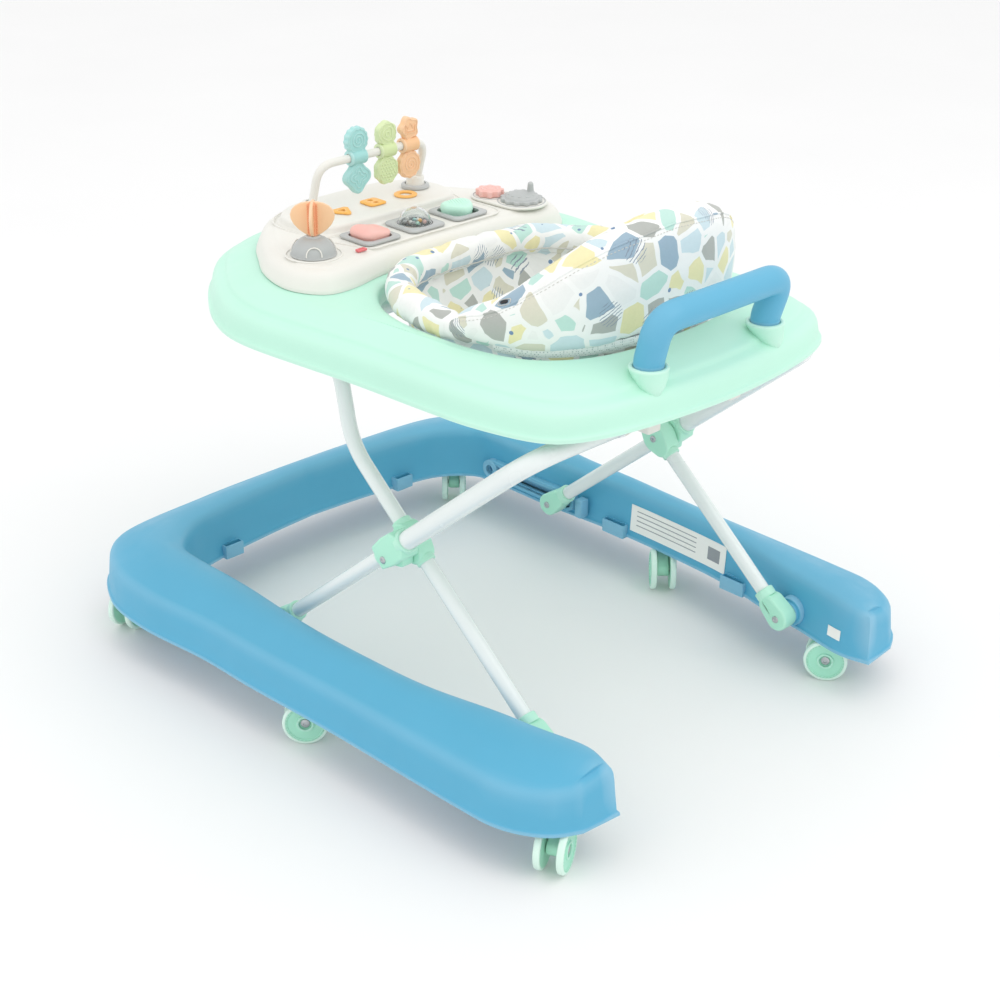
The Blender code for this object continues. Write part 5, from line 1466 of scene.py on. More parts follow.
def wavy_button(x, y, z):
    """Pillow-shaped button with one long wave across its top."""
    rings = []
    for shrink, up in ((0.95, -4.8), (0.96, 1.0), (1.0, 2.4), (1.0, 4.0), (0.985, 5.2), (0.94, 6.4), (0.86, 7.2),
            (0.72, 7.8), (0.5, 8.2), (0.25, 8.4)):
        ring = []
        for px, py in rounded_square(36, 10, 10):
            px, py = px * shrink, py * shrink
            swell = max(0.0, up - 1) / 7.4
            wave = 2.6 * sin(px / 18 * pi + 0.5) * (1 - 0.3 * abs(py) / 18)
            ring.append(Vector((x + px * MM, y + py * MM, z + (up + swell * wave) * MM)))
        rings.append(ring)
    return [(skin(rings, cap_last=True, cap_first=True), "toy_pink")]


def toothed_outline(radius, depth, teeth, centre=(0, 0), soft=6):
    """A gear outline with rounded teeth."""
    points = []
    total = teeth * soft * 2
    for k in range(total):
        a = tau * k / total
        wave = cos(teeth * a)
        reach = radius - depth / 2 + depth / 2 * copysign(abs(wave) ** 0.55, wave)
        points.append((centre[0] + reach * cos(a), centre[1] + reach * sin(a)))
    return points


class WALKER_OT_toys(bpy.types.Operator):
    """Spinner, buttons, rattle dome, gears, flat shapes and slide switch on the toy panel"""
    bl_idname = "walker.toys"
    bl_label = "Panel toys"

    def execute(self, context):
        self.spinner()
        self.buttons()
        self.rattle()
        self.gears()
        self.shapes()
        return {"FINISHED"}

    def spinner(self):
        foot = middle("spinner_base")
        foot.z = low("spinner_base").z
        dome = [(0, 19), (6, 18.8), (10.4, 17.6), (14.2, 15.6), (17.8, 12.6), (20.6, 8.8), (22.4, 4.6), (23.2, 1.6),
            (24, 0.8), (24, 0), (0, 0)]
        parts = [(lathe(dome, foot, sides=64), "toy_grey")]
        parts.append((lathe([(0, 19.9), (7.0, 19.9), (7.8, 19.2), (8.2, 17.0), (0, 17.0)], foot, sides=40),
            "toy_grey"))
        for turn in (0.0, tau / 3, 2 * tau / 3):
            path = []
            for k in range(25):
                t = k / 24
                swing = radians(20) * cos(pi * t)
                up = 2.6 + 9.6 * sin(pi * t) ** 0.6
                radius = 23.4 - (up / 19) ** 2 * 9.5
                a = radians(52) + turn + swing
                path.append(foot + Vector((radius * cos(a), radius * sin(a), up)) * MM)
            parts.append((swept(path, 0.75 * MM, "toy_grey", sides=8), "panel_white"))
        piece("spinner_dome", parts, "tray", ["spinner_base"])
        foot.z = low("spinner").z
        vane = [(0.5, 0), (5, 0.4), (9, 2.6), (14.6, 6.8), (19.4, 12), (22.2, 17.6), (22.9, 22.4), (21.4, 27.4),
            (17.4, 31.6), (11.6, 34.6), (5.6, 35.9), (0.5, 36)]
        parts = []
        for k in range(4):
            stand = Matrix.Translation(foot) @ Matrix.Rotation(radians(45 + 90 * k), 4, "Z")
            stand = stand @ Matrix.Rotation(pi / 2, 4, "X") @ Matrix.Translation((0, 0, -1.6 * MM))
            parts.append((slab(vane, 3.2, 1.1, stand), "toy_orange"))
            spine = stand @ Matrix.Translation((0, 0, 1.6 * MM))
            for row in range(13):
                spot = spine @ Vector((4.4 * MM, (3.4 + 2.45 * row) * MM, 0))
                parts.append((lathe([(0, -2.6), (0.9, -2.4), (1.15, -1.9), (1.15, 1.9), (0.9, 2.4), (0, 2.6)],
                    spot, stand.to_3x3() @ Vector((0, 0, 1)), 12), "orange_deep"))
        core = [(0, 36), (3.0, 35.6), (4.2, 34), (4.2, 0.4), (3.4, 0), (0, 0)]
        parts.append((lathe(core, foot, sides=24), "orange_deep"))
        piece("spinner_vanes", parts, "spinner", ["spinner"])

    def buttons(self):
        low_z, high_z = low("bezel_left").z, high("bezel_left").z
        tall = (high_z - low_z) / MM
        for tag in ("left", "middle", "right"):
            centre = middle("bezel_" + tag)
            base = Matrix.Translation((centre.x, centre.y, low_z))
            frame_body = slab(rounded_square(50, 8, 8), tall, 1.1, base)
            if tag == "middle":
                hole = [(0, -20), (19.4, -20), (19.4, 20), (0, 20)]
                frame_body = cut(frame_body, [lathe(hole, centre, sides=56)])
                parts = [(frame_body, "toy_grey")]
                # painted shade: a dark grey disc on the well's floor under the dome
                parts.append((lathe([(0, 0.4), (19.4, 0.4), (19.6, 0.8), (19.6, -1), (0, -1)],
                    at_z(centre, low_z), sides=56), "shadow_grey"))
                for k in range(3):
                    radius = (6 + 4.6 * k) * MM
                    arc = [Vector((centre.x + radius * cos(a), centre.y + radius * sin(a), low_z + 0.7 * MM))
                        for a in (radians(20 + 70 * k + 9 * j) for j in range(24))]
                    parts.append((swept(arc, 0.6 * MM, "toy_grey", sides=8), "toy_grey"))
            else:
                hole = slab(rounded_square(37.4, 8.4, 8), 30, 0, base @ Matrix.Translation((0, 0, -0.01)))
                frame_body = cut(frame_body, [hole])
                parts = [(frame_body, "toy_grey")]
                for way in (-1, 1):
                    # painted shade: dark grey lugs in the gaps beside the bezel
                    lug = block((centre.x + way * 18.4 * MM, centre.y + 4 * MM, low_z - 2 * MM),
                        (centre.x + way * 20.4 * MM, centre.y + 7 * MM, high_z - 0.6 * MM), 0.3, 1)
                    parts.append((lug, "shadow_grey"))
            piece("bezel_frame_" + tag, parts, "tray", ["bezel_" + tag])
        place = middle("wave_button")
        piece("wavy_button", wavy_button(place.x, place.y, BEZEL_TOP), "wave_button", ["wave_button"],
            50)
        place = middle("heart_button")
        piece("dotted_button", dotted_button(place.x, place.y, BEZEL_TOP), "heart_button", ["heart_button"])

    def rattle(self):
        centre = middle("rattle_dome")
        z = low("rattle_dome").z
        foot = at_z(centre, z)
        outer, inner = [], []
        for k in range(13):
            a = radians(90 * k / 12)
            outer.append((17.4 * sin(a), 16.4 * cos(a)))
            inner.append((16.2 * sin(a), 15.2 * cos(a)))
        profile = [(0, 16.4)] + outer[1:] + [(19.0, 0), (19.0, -0.9), (16.2, -0.9)] + inner[::-1][:-1] + [(0, 15.2)]
        piece("rattle_shell", [(lathe(profile, foot, sides=56), "clear")], "tray", ["rattle_dome"])
        draw = random.Random(4)
        parts = []
        looks = ("panel_white", "toy_grey", "tray_mint", "toy_pink", "toy_yellow", "panel_white", "toy_teal",
            "panel_white",
            "toy_grey")
        for k, look in enumerate(looks):
            a, reach = tau * k / len(looks) + draw.uniform(-0.2, 0.2), draw.uniform(5, 12) * MM
            spot = Vector((foot.x + reach * cos(a), foot.y + reach * sin(a), foot.z + 0.6 * MM))
            parts.append((lathe([(0, 2.3), (1.15, 2.0), (2.0, 1.15), (2.3, 0), (2.0, -1.15), (1.15, -2.0), (0,
                -2.3)],
                spot, sides=16), look))
        piece("rattle_beads", parts, "tray", ())

    def gears(self):
        big, small = joint_place("gear_knob_turn"), joint_place("gear_pinion_turn")
        floor_z = low("gear_base").z
        outline = hull_outline(circle(big / MM, 29, 56) + circle(small / MM, 21, 48))
        base = Matrix.Translation((0, 0, floor_z))
        parts = [(slab(outline, 3.0, 1.2, base), "panel_white")]
        for place, radius in ((big, 26.6), (small, 18.6)):
            ring = [(radius - 0.8, 0), (radius - 0.4, 0.5), (radius + 0.4, 0.5), (radius + 0.8, 0)]
            parts.append((lathe([(radius - 0.8, -0.5)] + ring + [(radius + 0.8, -0.5), (radius - 0.8, -0.5)],
                at_z(place, floor_z + 3 * MM), sides=64), "toy_grey"))
        piece("gear_tray", parts, "tray", ["gear_base"])
        turn = Matrix.Translation(big)
        parts = [(slab(toothed_outline(24, 2.4, 12), 4.0, 0.8, turn), "toy_grey")]
        top = [(0, 9.2), (7, 9.2), (10.6, 8.9), (13.6, 8.1), (16.4, 6.6), (18.0, 5.0), (18.4, 3.6), (0, 3.6)]
        parts.append((lathe(top, big, sides=56), "toy_grey"))
        parts.append((slab(toothed_outline(15.5, 1.8, 10), 8.2, 0.6, turn), "toy_grey"))
        grip = Vector((big.x - 10 * MM, big.y + 4 * MM, big.z))
        parts.append((lathe([(0, 20), (1.8, 19.7), (2.9, 18.6), (3.2, 16.8), (3.8, 9.6), (5.2, 8.2), (0, 8)],
            grip, sides=28), "toy_grey"))
        piece("knob_gear", parts, "gear_knob", ["gear_knob"])
        turn = Matrix.Translation(small)
        parts = [(slab(toothed_outline(16, 2.6, 8), 7.0, 1.0, turn), "toy_pink")]
        parts.append((lathe([(0, 8.4), (3.0, 8.2), (4.4, 7.4), (4.8, 6.4), (0, 6.4)], small, sides=28), "toy_pink"))
        rib = [(7.4, 7.0), (7.8, 7.6), (9.4, 7.6), (9.8, 7.0), (9.8, 6.5), (7.4, 6.5), (7.4, 7.0)]
        parts.append((lathe(rib, small, sides=48), "toy_pink"))
        piece("small_gear", parts, "gear_pinion", ["gear_pinion"])

    def shapes(self):
        """Flat yellow triangle, square and ring, and the slide switch."""
        z = low("shape_square").z
        three = []
        for k in range(3):
            a = pi / 2 + tau * k / 3
            three += circle((9.5 * cos(a), 9.5 * sin(a) - 1.5), 4.0, 20)
        place = middle("shape_triangle")
        outline = hull_outline(three)
        body = slab(outline, 2.2, 0.8, Matrix.Translation((place.x, place.y, z)))
        gap = slab([(px * 0.36, py * 0.36 - 0.5) for px, py in outline], 12, 0,
            Matrix.Translation((place.x, place.y, z - 4 * MM)))
        piece("flat_triangle", [(cut(body, [gap]), "toy_yellow")], "tray", ["shape_triangle"])
        place = middle("shape_square")
        body = slab(rounded_square(23, 4.5, 8), 2.2, 0.8, Matrix.Translation((place.x, place.y, z)))
        gaps = [slab(rounded_square(6, 1.8, 5), 12, 0,
            Matrix.Translation((place.x, place.y + k * 4.6 * MM, z - 4 * MM)))
            for k in (-1, 1)]
        piece("flat_square", [(cut(body, gaps), "toy_yellow")], "tray", ["shape_square"])
        place = middle("shape_ring")
        ring = [(7.2, 0), (12.4, 0), (13, 0.6), (13, 1.6), (12.2, 2.2), (7.8, 2.2), (7.0, 1.6), (7.0, 0.6), (7.2,
            0)]
        piece("flat_ring", [(lathe(ring, at_z(place, z), sides=56), "toy_yellow")], "tray",
            ["shape_ring"])
        lower, upper = low("slide_switch"), high("slide_switch")
        parts = [(block(lower, upper, 0.9, 3), "toy_red")]
        for k in range(4):
            x = lower.x + (3 + 2 * k) * MM
            parts.append((block((x - 0.4 * MM, lower.y + 1 * MM, upper.z - 0.4 * MM),
                (x + 0.4 * MM, upper.y - 1 * MM, upper.z + 0.5 * MM), 0.25, 1), "toy_red"))
        piece("switch_slider", parts, "slide_switch", ["slide_switch"])


# Toy bar and charms

def spiral(turns, radius, steps=40, phase=0.0):
    return [(radius * t * cos(phase + turns * tau * t), radius * t * sin(phase + turns * tau * t))
        for t in (0.12 + 0.88 * k / steps for k in range(steps + 1))]


def lobed(centre_z, radius, lobes, depth, sides=64, phase=0.0):
    points = []
    for k in range(sides):
        a = tau * k / sides
        reach = radius * (1 + depth * cos(lobes * a + phase))
        points.append((reach * cos(a), centre_z + reach * sin(a)))
    return points


CHARM_LOOKS = (                   # node, finish, upper and lower (radius, lobes, depth) in mm, their reliefs
    ("charm_flower", "toy_teal", (15, 14, 0.035), (16.5, 4, 0.11), "spiral", "petals"),
    ("charm_dots", "toy_lime", (13.6, 6, 0.05), (15.6, 8, 0.045), "hook", "dots"),
    ("charm_spiral", "toy_orange", (12.6, 5, 0.11), (15.4, 12, 0.03), "crown", "spiral"),
)


class WALKER_OT_toy_bar(bpy.types.Operator):
    """White hooped bar on two posts with three turning charms"""
    bl_idname = "walker.toy_bar"
    bl_label = "Toy bar"

    def execute(self, context):
        foot = low("bar_post_left").z
        x, y = middle("bar_post_left").x, middle("bar_post_left").y
        axis = joint_place("charm_flower_turn")
        lean = (axis.y - y) / (axis.z - PLATFORM_TOP)

        def up_bar(px, rise):
            return Vector((px, y + lean * rise * MM, PLATFORM_TOP + rise * MM))
        corners = [up_bar(x, 7), Vector((x, axis.y, axis.z)), Vector((-x, axis.y, axis.z)), up_bar(-x, 7)]
        bar = swept(rounded_route(corners, 20 * MM, 14), 4.5 * MM, "tube_white", sides=24)
        piece("toy_bar_hoop", [(bar, "panel_white")], "tray", ["toy_bar"])
        for tag, side in SIDES:
            place = Vector((side * x, y, foot))
            post = [(4.8, 15), (6.6, 15), (8.2, 14.6), (9.4, 13.2), (9.9, 11), (10.2, 4), (11.6, 2.2), (13.6, 1.4),
                (14, 0.6), (14, 0), (4.8, 0), (4.8, 15)]
            parts = [(lathe(post, place, sides=48), "panel_white")]
            if side > 0:
                for way in (-1, 1):
                    parts.append((lathe([(3.4, 0), (3.4, 5.6), (2.8, 6.4), (1.6, 6.4), (1.5, 5.4), (0, 5.4)],
                        place + Vector((way * 7.4 * MM, 0, 8 * MM)), (way, 0.25, 0), 24), "panel_white"))
            else:
                ring = [(14.2, 0), (15.4, 0.2), (16, 1.2), (15.6, 3.4), (14.2, 4.4), (12.0, 4.6), (12.0, 0), (14.2,
                    0)]
                parts.append((lathe(ring, place, sides=48), "toy_grey"))
            piece("bar_post_moulding_" + tag, parts, "tray", ["bar_post_" + tag])
        for row in CHARM_LOOKS:
            self.charm(*row)
        return {"FINISHED"}

    def charm(self, name, look, upper, lower, upper_relief, lower_relief):
        centre = joint_place(name + "_turn")
        stand = Matrix.Translation(centre) @ Matrix.Rotation(pi / 2, 4, "X")
        parts = []
        sleeve = [(5.0, -11), (7.2, -11), (8.2, -10.2), (8.4, -9.2), (8.0, -8.6), (8.0, 8.6), (8.4, 9.2), (8.2,
            10.2),
            (7.2, 11), (5.0, 11), (5.0, -11)]
        parts.append((lathe(sleeve, centre, (1, 0, 0), 40), look))
        cutter = lathe([(0, -20), (5.0, -20), (5.0, 20), (0, 20)], centre, (1, 0, 0), 28)
        plates = []
        for (radius, lobes, depth), z in ((upper, 18), (lower, -22)):
            phase = pi if name == "charm_dots" else 0.0
            outline = lobed(z, radius, lobes, depth, 72, phase)
            plates.append(slab(outline, 7.4, 1.6, stand @ Matrix.Translation((0, 0, -3.7 * MM))))
        for plate in plates:
            parts.append((cut(plate, [cutter.copy()]), look))
        cutter.free()
        for kind, (radius, lobes, depth), z in ((upper_relief, upper, 18), (lower_relief, lower, -22)):
            for face in (-1, 1):
                flat = stand @ Matrix.Translation((0, z * MM, face * 3.8 * MM))
                border = [flat @ Vector((px * 0.84 * MM, (py - z) * 0.84 * MM, 0))
                    for px, py in lobed(z, radius, lobes, depth, 64)]
                parts.append((swept(border, 0.55 * MM, look, True, 8), look))
                parts += self.relief(kind, radius, flat, face, look)
        piece(name + "_toy", parts, name, [name])

    def relief(self, kind, radius, flat, face, look):
        """Raised pattern on one face of a charm plate."""
        def lines(points, closed=False, thick=0.75):
            path = [flat @ Vector((px * MM, py * MM, 0)) for px, py in points]
            return [(swept(path, thick * MM, look, closed, 8), look)]
        if kind == "spiral":
            return lines(spiral(2.6, radius * 0.62))
        if kind == "petals":
            return (lines(lobed(0, radius * 0.56, 4, 0.22, 56), True)
                + lines(lobed(0, radius * 0.30, 4, 0.3, 40), True))
        if kind == "dots":
            dot = lathe([(0, 0.9), (0.7, 0.75), (1.2, 0.2), (1.3, -0.6), (0, -0.6)], sides=10)
            out = flat.to_3x3() @ Vector((0, 0, face))
            places = []
            for row in range(-3, 4):
                for col in range(-3, 4):
                    px, py = (col + 0.5 * (row % 2)) * 3.8, row * 3.4
                    if hypot(px, py) < radius * 0.72:
                        places.append((flat @ Vector((px * MM, py * MM, 0)), out,
                            flat.to_3x3() @ Vector((1, 0, 0))))
            return [(scattered(dot, places, look, 0.05), look)]
        if kind == "hook":
            return (lines(lobed(0, radius * 0.52, 3, 0.12, 48), True) + lines(lobed(0, radius * 0.2, 0, 0, 24),
                True))
        peaks = [(-6, -4.5), (-7, 4.5), (-3.2, 0.6), (0, 6.5), (3.2, 0.6), (7, 4.5), (6, -4.5)]
        return lines(peaks, True) + lines([(-4.6, -2.2), (4.6, -2.2)])


# Seat

PAD_INSET = 2                     # from the opening's edge to the pad's outer face, mm
PAD_DEPTH = 27 * MM               # through the pad
PAD_LOW = TRAY_TOP + 4 * MM
PAD_RISE = ((0, 11), (0.012, 19), (0.035, 26), (0.08, 36), (0.13, 49), (0.2, 73), (0.27, 94), (0.34, 108),
    (0.42, 114), (0.5, 117))          # share of the way round and height over the pad's foot, mm


PUFF_FRAMES = 20


def swollen(bm, voxel, cap, pressure=4.0):
    """Padding: the form is remeshed, blown up as cloth, each point's travel capped, and smoothed."""
    bm = modified(bm, ("REMESH", {"mode": "VOXEL", "voxel_size": voxel, "use_smooth_shade": True}))
    bm.verts.ensure_lookup_table()
    rest = [v.co.copy() for v in bm.verts]
    obj = stand_in(bm)
    step = obj.modifiers.new("padding", "CLOTH")
    settings = step.settings
    settings.use_pressure = True
    settings.uniform_pressure_force = pressure
    settings.effector_weights.gravity = 0
    settings.quality = 5
    settings.tension_stiffness = 12
    settings.bending_stiffness = 0.4
    step.point_cache.frame_start, step.point_cache.frame_end = 1, PUFF_FRAMES
    for number in range(1, PUFF_FRAMES + 1):
        bpy.context.scene.frame_set(number)
    bm = settled(obj)
    bpy.context.scene.frame_set(1)
    bm.verts.ensure_lookup_table()
    for v, start in zip(bm.verts, rest):
        travel = v.co - start
        if travel.length > cap:
            v.co = start + travel.normalized() * cap
    bm = modified(bm, ("SMOOTH", {"iterations": 3, "factor": 0.5}))
    return subdivided(bm, 1)


def rippled(bm, shift):
    """Move each point along its normal by a function of its place, in mm."""
    bm.normal_update()
    moves = [(v, v.normal * shift(v.co) * MM) for v in bm.verts]
    for v, move in moves:
        v.co += move
    return bm


def rope(path, sides):
    """A closed ring of round sections, each (centre, radius), whose thickness may vary."""
    rings = []
    total = len(path)
    for i, (point, radius) in enumerate(path):
        ahead = (path[(i + 1) % total][0] - path[i - 1][0]).normalized()
        out = Vector((ahead.y, -ahead.x, 0)).normalized()
        up = Vector((0, 0, 1))
        rings.append([point + (out * cos(a) + up * sin(a)) * radius
            for a in (tau * k / sides for k in range(sides))])
    bm = skin(rings + [rings[0]])
    bmesh.ops.remove_doubles(bm, verts=bm.verts, dist=0.01 * MM)
    return facing_out(bm)


def surface(bm):
    return BVHTree.FromBMesh(bm)


def on_surface(tree, point, lift):
    place, normal, _, _ = tree.find_nearest(point)
    return place + normal * lift, normal


def stitched(tree, path, lift=0.15 * MM):
    """Stitches laid end to end along a path on a surface."""
    total = sum((b - a).length for a, b in zip(path, path[1:]))
    points = even_path([Vector(p) for p in path], max(4, int(total / sizes().stitch_pitch)))
    places = []
    for a, b in zip(points, points[1:]):
        spot, normal = on_surface(tree, (a + b) / 2, lift)
        lie = (b - a).normalized()
        places.append((spot, normal, lie))
    half = sizes().stitch_length / 2 / MM
    one = lathe([(0, -half), (0.32, -half * 0.8), (0.42, 0), (0.32, half * 0.8), (0, half)], axis=(1, 0, 0),
        sides=8)
    return scattered(one, places, "thread", 0.08, 21)


class WALKER_OT_seat(bpy.types.Operator):
    """Padded seat: rolled edge, wrap-round back with piped gusset, spacer-mesh hem and hanging sling"""
    bl_idname = "walker.seat"
    bl_label = "Padded seat"

    def execute(self, context):
        self.roll()
        self.back()
        self.hem()
        self.sling()
        return {"FINISHED"}

    def roll(self):
        """The rolled edge round the opening: fat and puckered in front, slim under the back pad."""
        centre_y = 96 * MM
        outlines = {}
        path = []
        for k, base in enumerate(opening_outline(0, 220)):
            front = min(1.0, max(0.0, (150 * MM - base.y) / (72 * MM)))
            front = front * front * (3 - 2 * front)
            inset = round((11.5 + 3.0 * front) * 4) / 4
            if inset not in outlines:
                outlines[inset] = opening_outline(inset, 220)
            point = at_z(outlines[inset][k], TRAY_TOP + (5.0 + 2.5 * front) * MM)
            path.append((point, (8.0 + 8.4 * front) * MM))
        bm = rope(path, 20)
        bm = swollen(bm, 4.5 * MM, 2.2 * MM)

        def pucker(p):
            around = atan2(p.y - centre_y, p.x)
            side = 2.3 * noise(Vector((around * 8.0, p.z * 14, 3.1))) + 1.1 * noise(Vector((around * 22.0, p.z * 40,
                8.2)))
            return (side - 0.2) * (1.0 if p.y < 110 * MM else 0.3)
        bm = rippled(bm, pucker)
        tree = surface(bm)
        seam = [on_surface(tree, at_z(p, TRAY_TOP - 2 * MM), 0.2 * MM)[0]
            for p in opening_outline(30, 220)]
        for _ in range(2):
            seam = [(seam[i - 1] + 2 * p + seam[(i + 1) % len(seam)]) / 4 for i, p in enumerate(seam)]
        roll = piece("seat_rolled_edge", [(bm, "cloth")], "tray", ["seat_roll"], 180)
        piece("seat_edge_seam", [(swept(seam, 0.9 * MM, "cloth", True, 8), "thread")], "tray", ())

    def back_sections(self, count):
        """Foot of the outer face, way inwards and height of the back pad, from one tip round to the other."""
        outer = [p for p in opening_outline(PAD_INSET, 400) if p.y > 106 * MM]
        outer.sort(key=lambda p: atan2(p.x, p.y - 60 * MM))
        rises = smooth_path([Vector((s, h, 0)) for s, h in PAD_RISE], 300)
        centre = Vector((0, 100 * MM, 0))
        sections = []
        for k, p in enumerate(even_path(outer, count)):
            share = k / (count - 1)
            near = min(share, 1 - share)
            rise = min(rises, key=lambda r: abs(r.x - near)).y * MM
            sections.append((p, (centre - p).normalized(), rise))
        return sections

    def back(self):
        """Boxed wrap-round cushion: outer face, gusset along its top and inner face."""
        outline = ((0.06, 0.0, 1), (-0.06, 0.22, 0), (-0.12, 0.5, 0), (-0.05, 0.8, 0), (0.05, 1.0, 2), (0.24, 1.0,
            3),
            (0.56, 1.0, 4), (0.86, 1.0, 5), (1.0, 0.97, 5), (1.08, 0.6, 0), (1.06, 0.25, 0), (0.94, 0.0, 1))
        drops = {0: 0, 1: 0, 2: -12, 3: -6, 4: 0, 5: 1}
        rings = []
        for foot, inward, rise in self.back_sections(90):
            ring = []
            for across, up, kind in outline:
                spot = foot + inward * (across * PAD_DEPTH)
                slope = drops[kind] * MM * min(1.0, rise / (45 * MM))
                ring.append(at_z(spot, PAD_LOW + up * rise + slope))
            rings.append(ring)
        bm = facing_out(skin(rings, cap_last=True, cap_first=True))
        bm = swollen(bm, 4.5 * MM, 3.5 * MM)

        def crease(p):
            around = atan2(p.x, p.y - 90 * MM)
            return 1.1 * noise(Vector((around * 5, p.z * 26, 1.7))) + 0.5 * noise(Vector((around * 15, p.z * 60,
                6.6)))
        bm = rippled(bm, crease)
        tree = surface(bm)
        parts = []
        for across, drop, lower in ((0.0, -12, 5), (0.97, 1, 4)):
            edge = []
            for foot, inward, rise in self.back_sections(150):
                spot = foot + inward * (across * PAD_DEPTH)
                slope = drop * MM * min(1.0, rise / (45 * MM))
                edge.append(on_surface(tree, at_z(spot, PAD_LOW + rise + slope), 0.3 * MM)[0])
            for _ in range(3):
                edge = [edge[0]] + [(a + b * 2 + c) / 4 for a, b, c in zip(edge, edge[1:], edge[2:])] + [edge[-1]]
            parts.append((swept(edge, 1.1 * MM, "cloth", sides=10), "cloth"))
            shift = Vector((0, 0, -lower * MM))
            parts.append((stitched(tree, [p + shift for p in edge[6:-6]]), "thread"))
        pad = piece("seat_back_pad", [(bm, "cloth")], "tray", ["seat_back"], 180)
        parts += self.strap_slot(tree)
        piece("seat_back_seams", parts, "tray", ())

    def strap_slot(self, tree):
        """A bound slot in the near outer face with a black strap end in it."""
        spot, normal = on_surface(tree, Vector((150 * MM, 172 * MM, 489 * MM)), 0.3 * MM)
        side_way = Vector((0, 0, 1)).cross(normal).normalized()
        turn = Matrix((side_way, normal.cross(side_way), normal)).transposed().to_4x4()
        stand = Matrix.Translation(spot) @ turn @ Matrix.Rotation(radians(28), 4, "Z")
        tab = slab([(x, y * 0.36) for x, y in rounded_square(9, 2, 4)], 1.1, 0.3, stand)
        bind = [stand @ Vector((x * MM * 1.5, y * MM * 0.62, 0.1 * MM)) for x, y in rounded_square(10, 2.4, 5)]
        return [(tab, "webbing"), (swept(bind, 0.5 * MM, "thread", True, 8), "thread")]

    def hem(self):
        """White spacer mesh that shows between the back pad and the tray."""
        path = [p for p in opening_outline(11, 400) if p.y > 158 * MM]
        path.sort(key=lambda p: atan2(p.x, p.y - 60 * MM))
        path = even_path(path, 130)
        rows = []
        radius = 10.2 * MM
        for k, p in enumerate(path):
            tangent = (path[min(k + 1, len(path) - 1)] - path[max(k - 1, 0)]).normalized()
            out = Vector((tangent.y, -tangent.x, 0))
            if out.dot(p - Vector((0, 100 * MM, 0))) < 0:
                out = -out
            rows.append([at_z(p, TRAY_TOP + 5 * MM) + out * radius * cos(t)
                + Vector((0, 0, radius * sin(t)))
                for t in (radians(d) for d in (-62, -46, -30, -14, 2, 18))])
        bm = thickened(facing_out(skin(rows, closed=False)), 0.7 * MM, 0)
        strip = piece("hem_mesh", [(bm, "knit")], "tray", ())

    def sling(self):
        """Hanging bowl of thin padded cloth with two bound leg holes."""
        top = TRAY_TOP + 2 * MM
        depth = top - low("seat_sling").z + 6 * MM
        middle_y = 111 * MM
        rings = []
        for share, drop in ((1.0, 0), (0.995, 0.1), (0.98, 0.25), (0.96, 0.42), (0.90, 0.6), (0.82, 0.76), (0.68,
                0.88),
                (0.44, 0.955), (0.24, 0.99), (0.08, 1.0)):
            back_shift = 22 * MM * drop
            rings.append([Vector((p.x * share, middle_y + (p.y - middle_y) * share + back_shift,
                top - depth * drop))
                for p in opening_outline(17, 96)][::-1])
        bowl = subdivided(skin(rings, cap_last=True))

        def folds(p):
            around = atan2(p.y - middle_y, p.x)
            deep = min(1.0, max(0.0, (top - p.z) / (30 * MM)))
            return deep * (3.4 * noise(Vector((around * 5.5, p.z * 9, 4.4))) + 1.2 * noise(Vector((p.x * 38,
                p.y * 38, 2.0))))
        bowl = rippled(bowl, folds)
        tree = surface(bowl)
        parts = []
        holes = []
        for side in (1, -1):
            centre = Vector((side * 68 * MM, 30 * MM, 0))
            holes.append(lathe([(0, 290), (41, 290), (41, 460), (0, 460)], centre, sides=72))
            edge = []
            for k in range(72):
                a = tau * k / 72
                spot = centre + Vector((41 * MM * cos(a), 41 * MM * sin(a), top - 3 * MM))
                hit, normal, _, _ = tree.ray_cast(spot, Vector((0, 0, -1)))
                if hit is not None:
                    edge.append(hit + Vector((0, 0, -2 * MM)))
            parts.append((swept(edge, 3.6 * MM, "cloth", True, 14), "cloth"))
        bowl = cut(facing_out(thickened(bowl, 4.6 * MM, 0, False)), holes)
        sling = piece("seat_sling_bowl", [(bowl, "cloth")], "tray", ["seat_sling"], 60)
        rear = [Vector((x * MM, (70 + 40 * (1 - (x / 90) ** 2)) * MM, top)) for x in range(-84, 85, 6)]
        line = [tree.ray_cast(p, Vector((0, 0, -1)))[0] for p in rear]
        parts.append((swept([p for p in line if p], 1.1 * MM, "cloth", sides=8), "thread"))
        piece("leg_hole_binding", parts, "tray", ())


# Studio

CAMERA_PLACE = (1.31099, 1.33948, 1.08179)
CAMERA_AHEAD = (-0.63438, -0.63876, -0.43536)
CAMERA_RIGHT = (-0.71228, 0.70184, 0.00815)


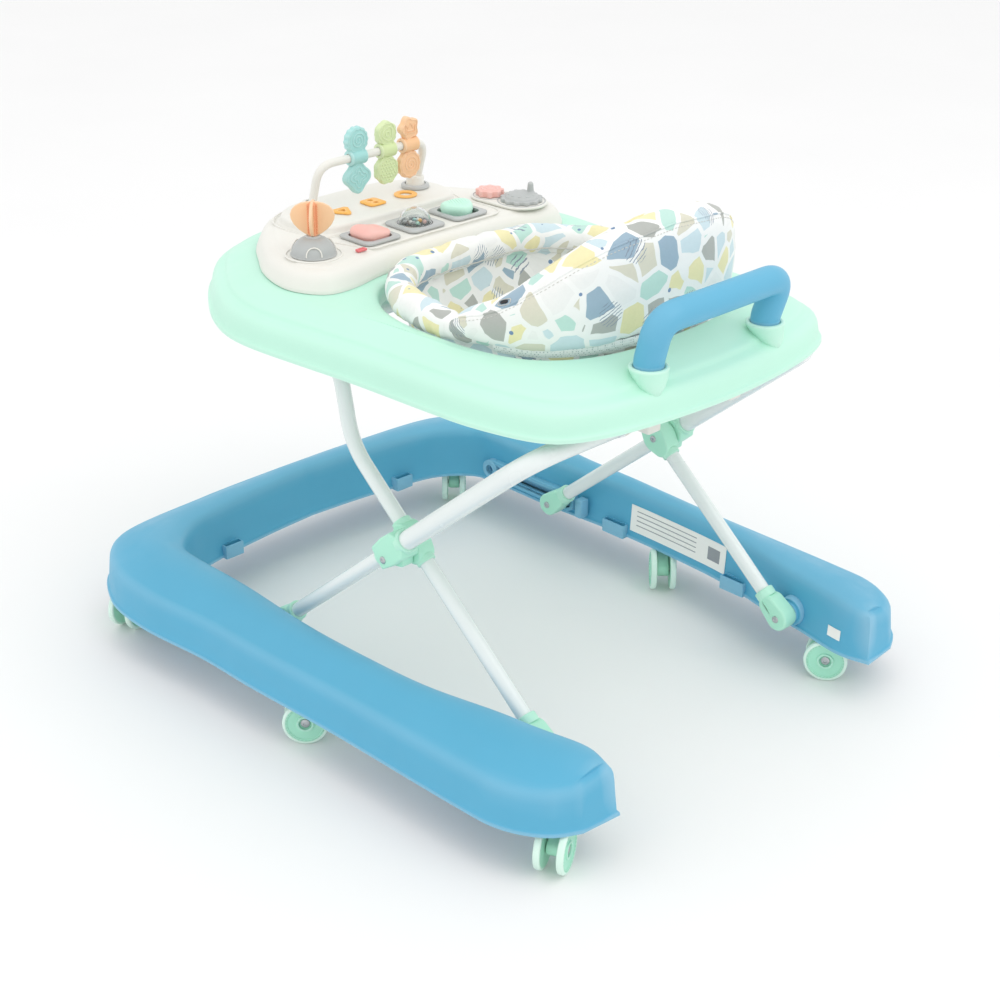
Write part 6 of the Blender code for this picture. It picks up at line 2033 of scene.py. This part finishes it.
class WALKER_OT_studio(bpy.types.Operator):
    """Pale floor, soft lights and the camera"""
    bl_idname = "walker.studio"
    bl_label = "Studio"

    def execute(self, context):
        bm = bmesh.new()
        bmesh.ops.create_circle(bm, cap_ends=True, segments=96, radius=9)
        mesh = bpy.data.meshes.new("studio_floor")
        bm.to_mesh(mesh)
        bm.free()
        mesh.materials.append(finish("floor"))
        ground = linked("studio_floor", mesh)
        ground.location.z = -0.4 * MM
        world = bpy.data.worlds.new("studio_air")
        world.use_nodes = True
        shade_node = world.node_tree.nodes["Background"]
        shade_node.inputs["Color"].default_value = (1.0, 1.0, 1.0, 1)
        shade_node.inputs["Strength"].default_value = 1.04
        bpy.context.scene.world = world
        for name, place, size, power in (("key_light", (-0.4, 1.7, 2.3), 1.8, 11.0),
                ("fill_light", (2.4, -0.6, 1.7), 2.2, 5.0),
                ("top_light", (0.0, -0.5, 3.0), 2.6, 6.0)):
            lamp = bpy.data.lights.new(name, "AREA")
            lamp.size = size
            lamp.energy = power
            obj = linked(name, lamp)
            obj.location = place
            aim = Vector((0, 0, 0.25)) - Vector(place)
            obj.rotation_euler = aim.to_track_quat("-Z", "Y").to_euler()
        bpy.context.scene.view_settings.view_transform = "Standard"
        self.camera()
        return {"FINISHED"}

    def camera(self):
        lens = bpy.data.cameras.new("studio_camera")
        lens.lens, lens.sensor_width = 68.04, 36
        lens.clip_end = 60
        obj = linked("studio_camera", lens)
        ahead = Vector(CAMERA_AHEAD).normalized()
        right = Vector(CAMERA_RIGHT).normalized()
        up = right.cross(ahead).normalized()
        turn = Matrix((right, up, -ahead)).transposed().to_4x4()
        obj.matrix_world = Matrix.Translation(CAMERA_PLACE) @ turn
        bpy.context.scene.camera = obj


# The sidebar panel and the run

OPERATORS = (WALKER_OT_base, WALKER_OT_casters, WALKER_OT_frame, WALKER_OT_tray, WALKER_OT_panel, WALKER_OT_toys,
    WALKER_OT_toy_bar, WALKER_OT_seat, WALKER_OT_studio)


class WALKER_PT_sidebar(bpy.types.Panel):
    """The walker's pieces, sizes and colours"""
    bl_idname = "WALKER_PT_sidebar"
    bl_label = "Baby Walker"
    bl_space_type = "VIEW_3D"
    bl_region_type = "UI"
    bl_category = "Walker"

    def draw(self, context):
        for operator in OPERATORS:
            self.layout.operator(operator.bl_idname)
        for group in (sizes(), colours()):
            box = self.layout.box()
            for name in group.__annotations__:
                box.prop(group, name)


CLASSES = (WalkerColours, WalkerSizes) + OPERATORS + (WALKER_PT_sidebar,)


def register():
    for cls in CLASSES:
        bpy.utils.register_class(cls)
    bpy.types.Scene.walker_colours = PointerProperty(type=WalkerColours)
    bpy.types.Scene.walker_sizes = PointerProperty(type=WalkerSizes)


def unregister():
    del bpy.types.Scene.walker_sizes
    del bpy.types.Scene.walker_colours
    for cls in reversed(CLASSES):
        bpy.utils.unregister_class(cls)


def main():
    register()
    for operator in OPERATORS:
        group, name = operator.bl_idname.split(".")
        getattr(getattr(bpy.ops, group), name)()


if __name__ == "__main__":
    main()
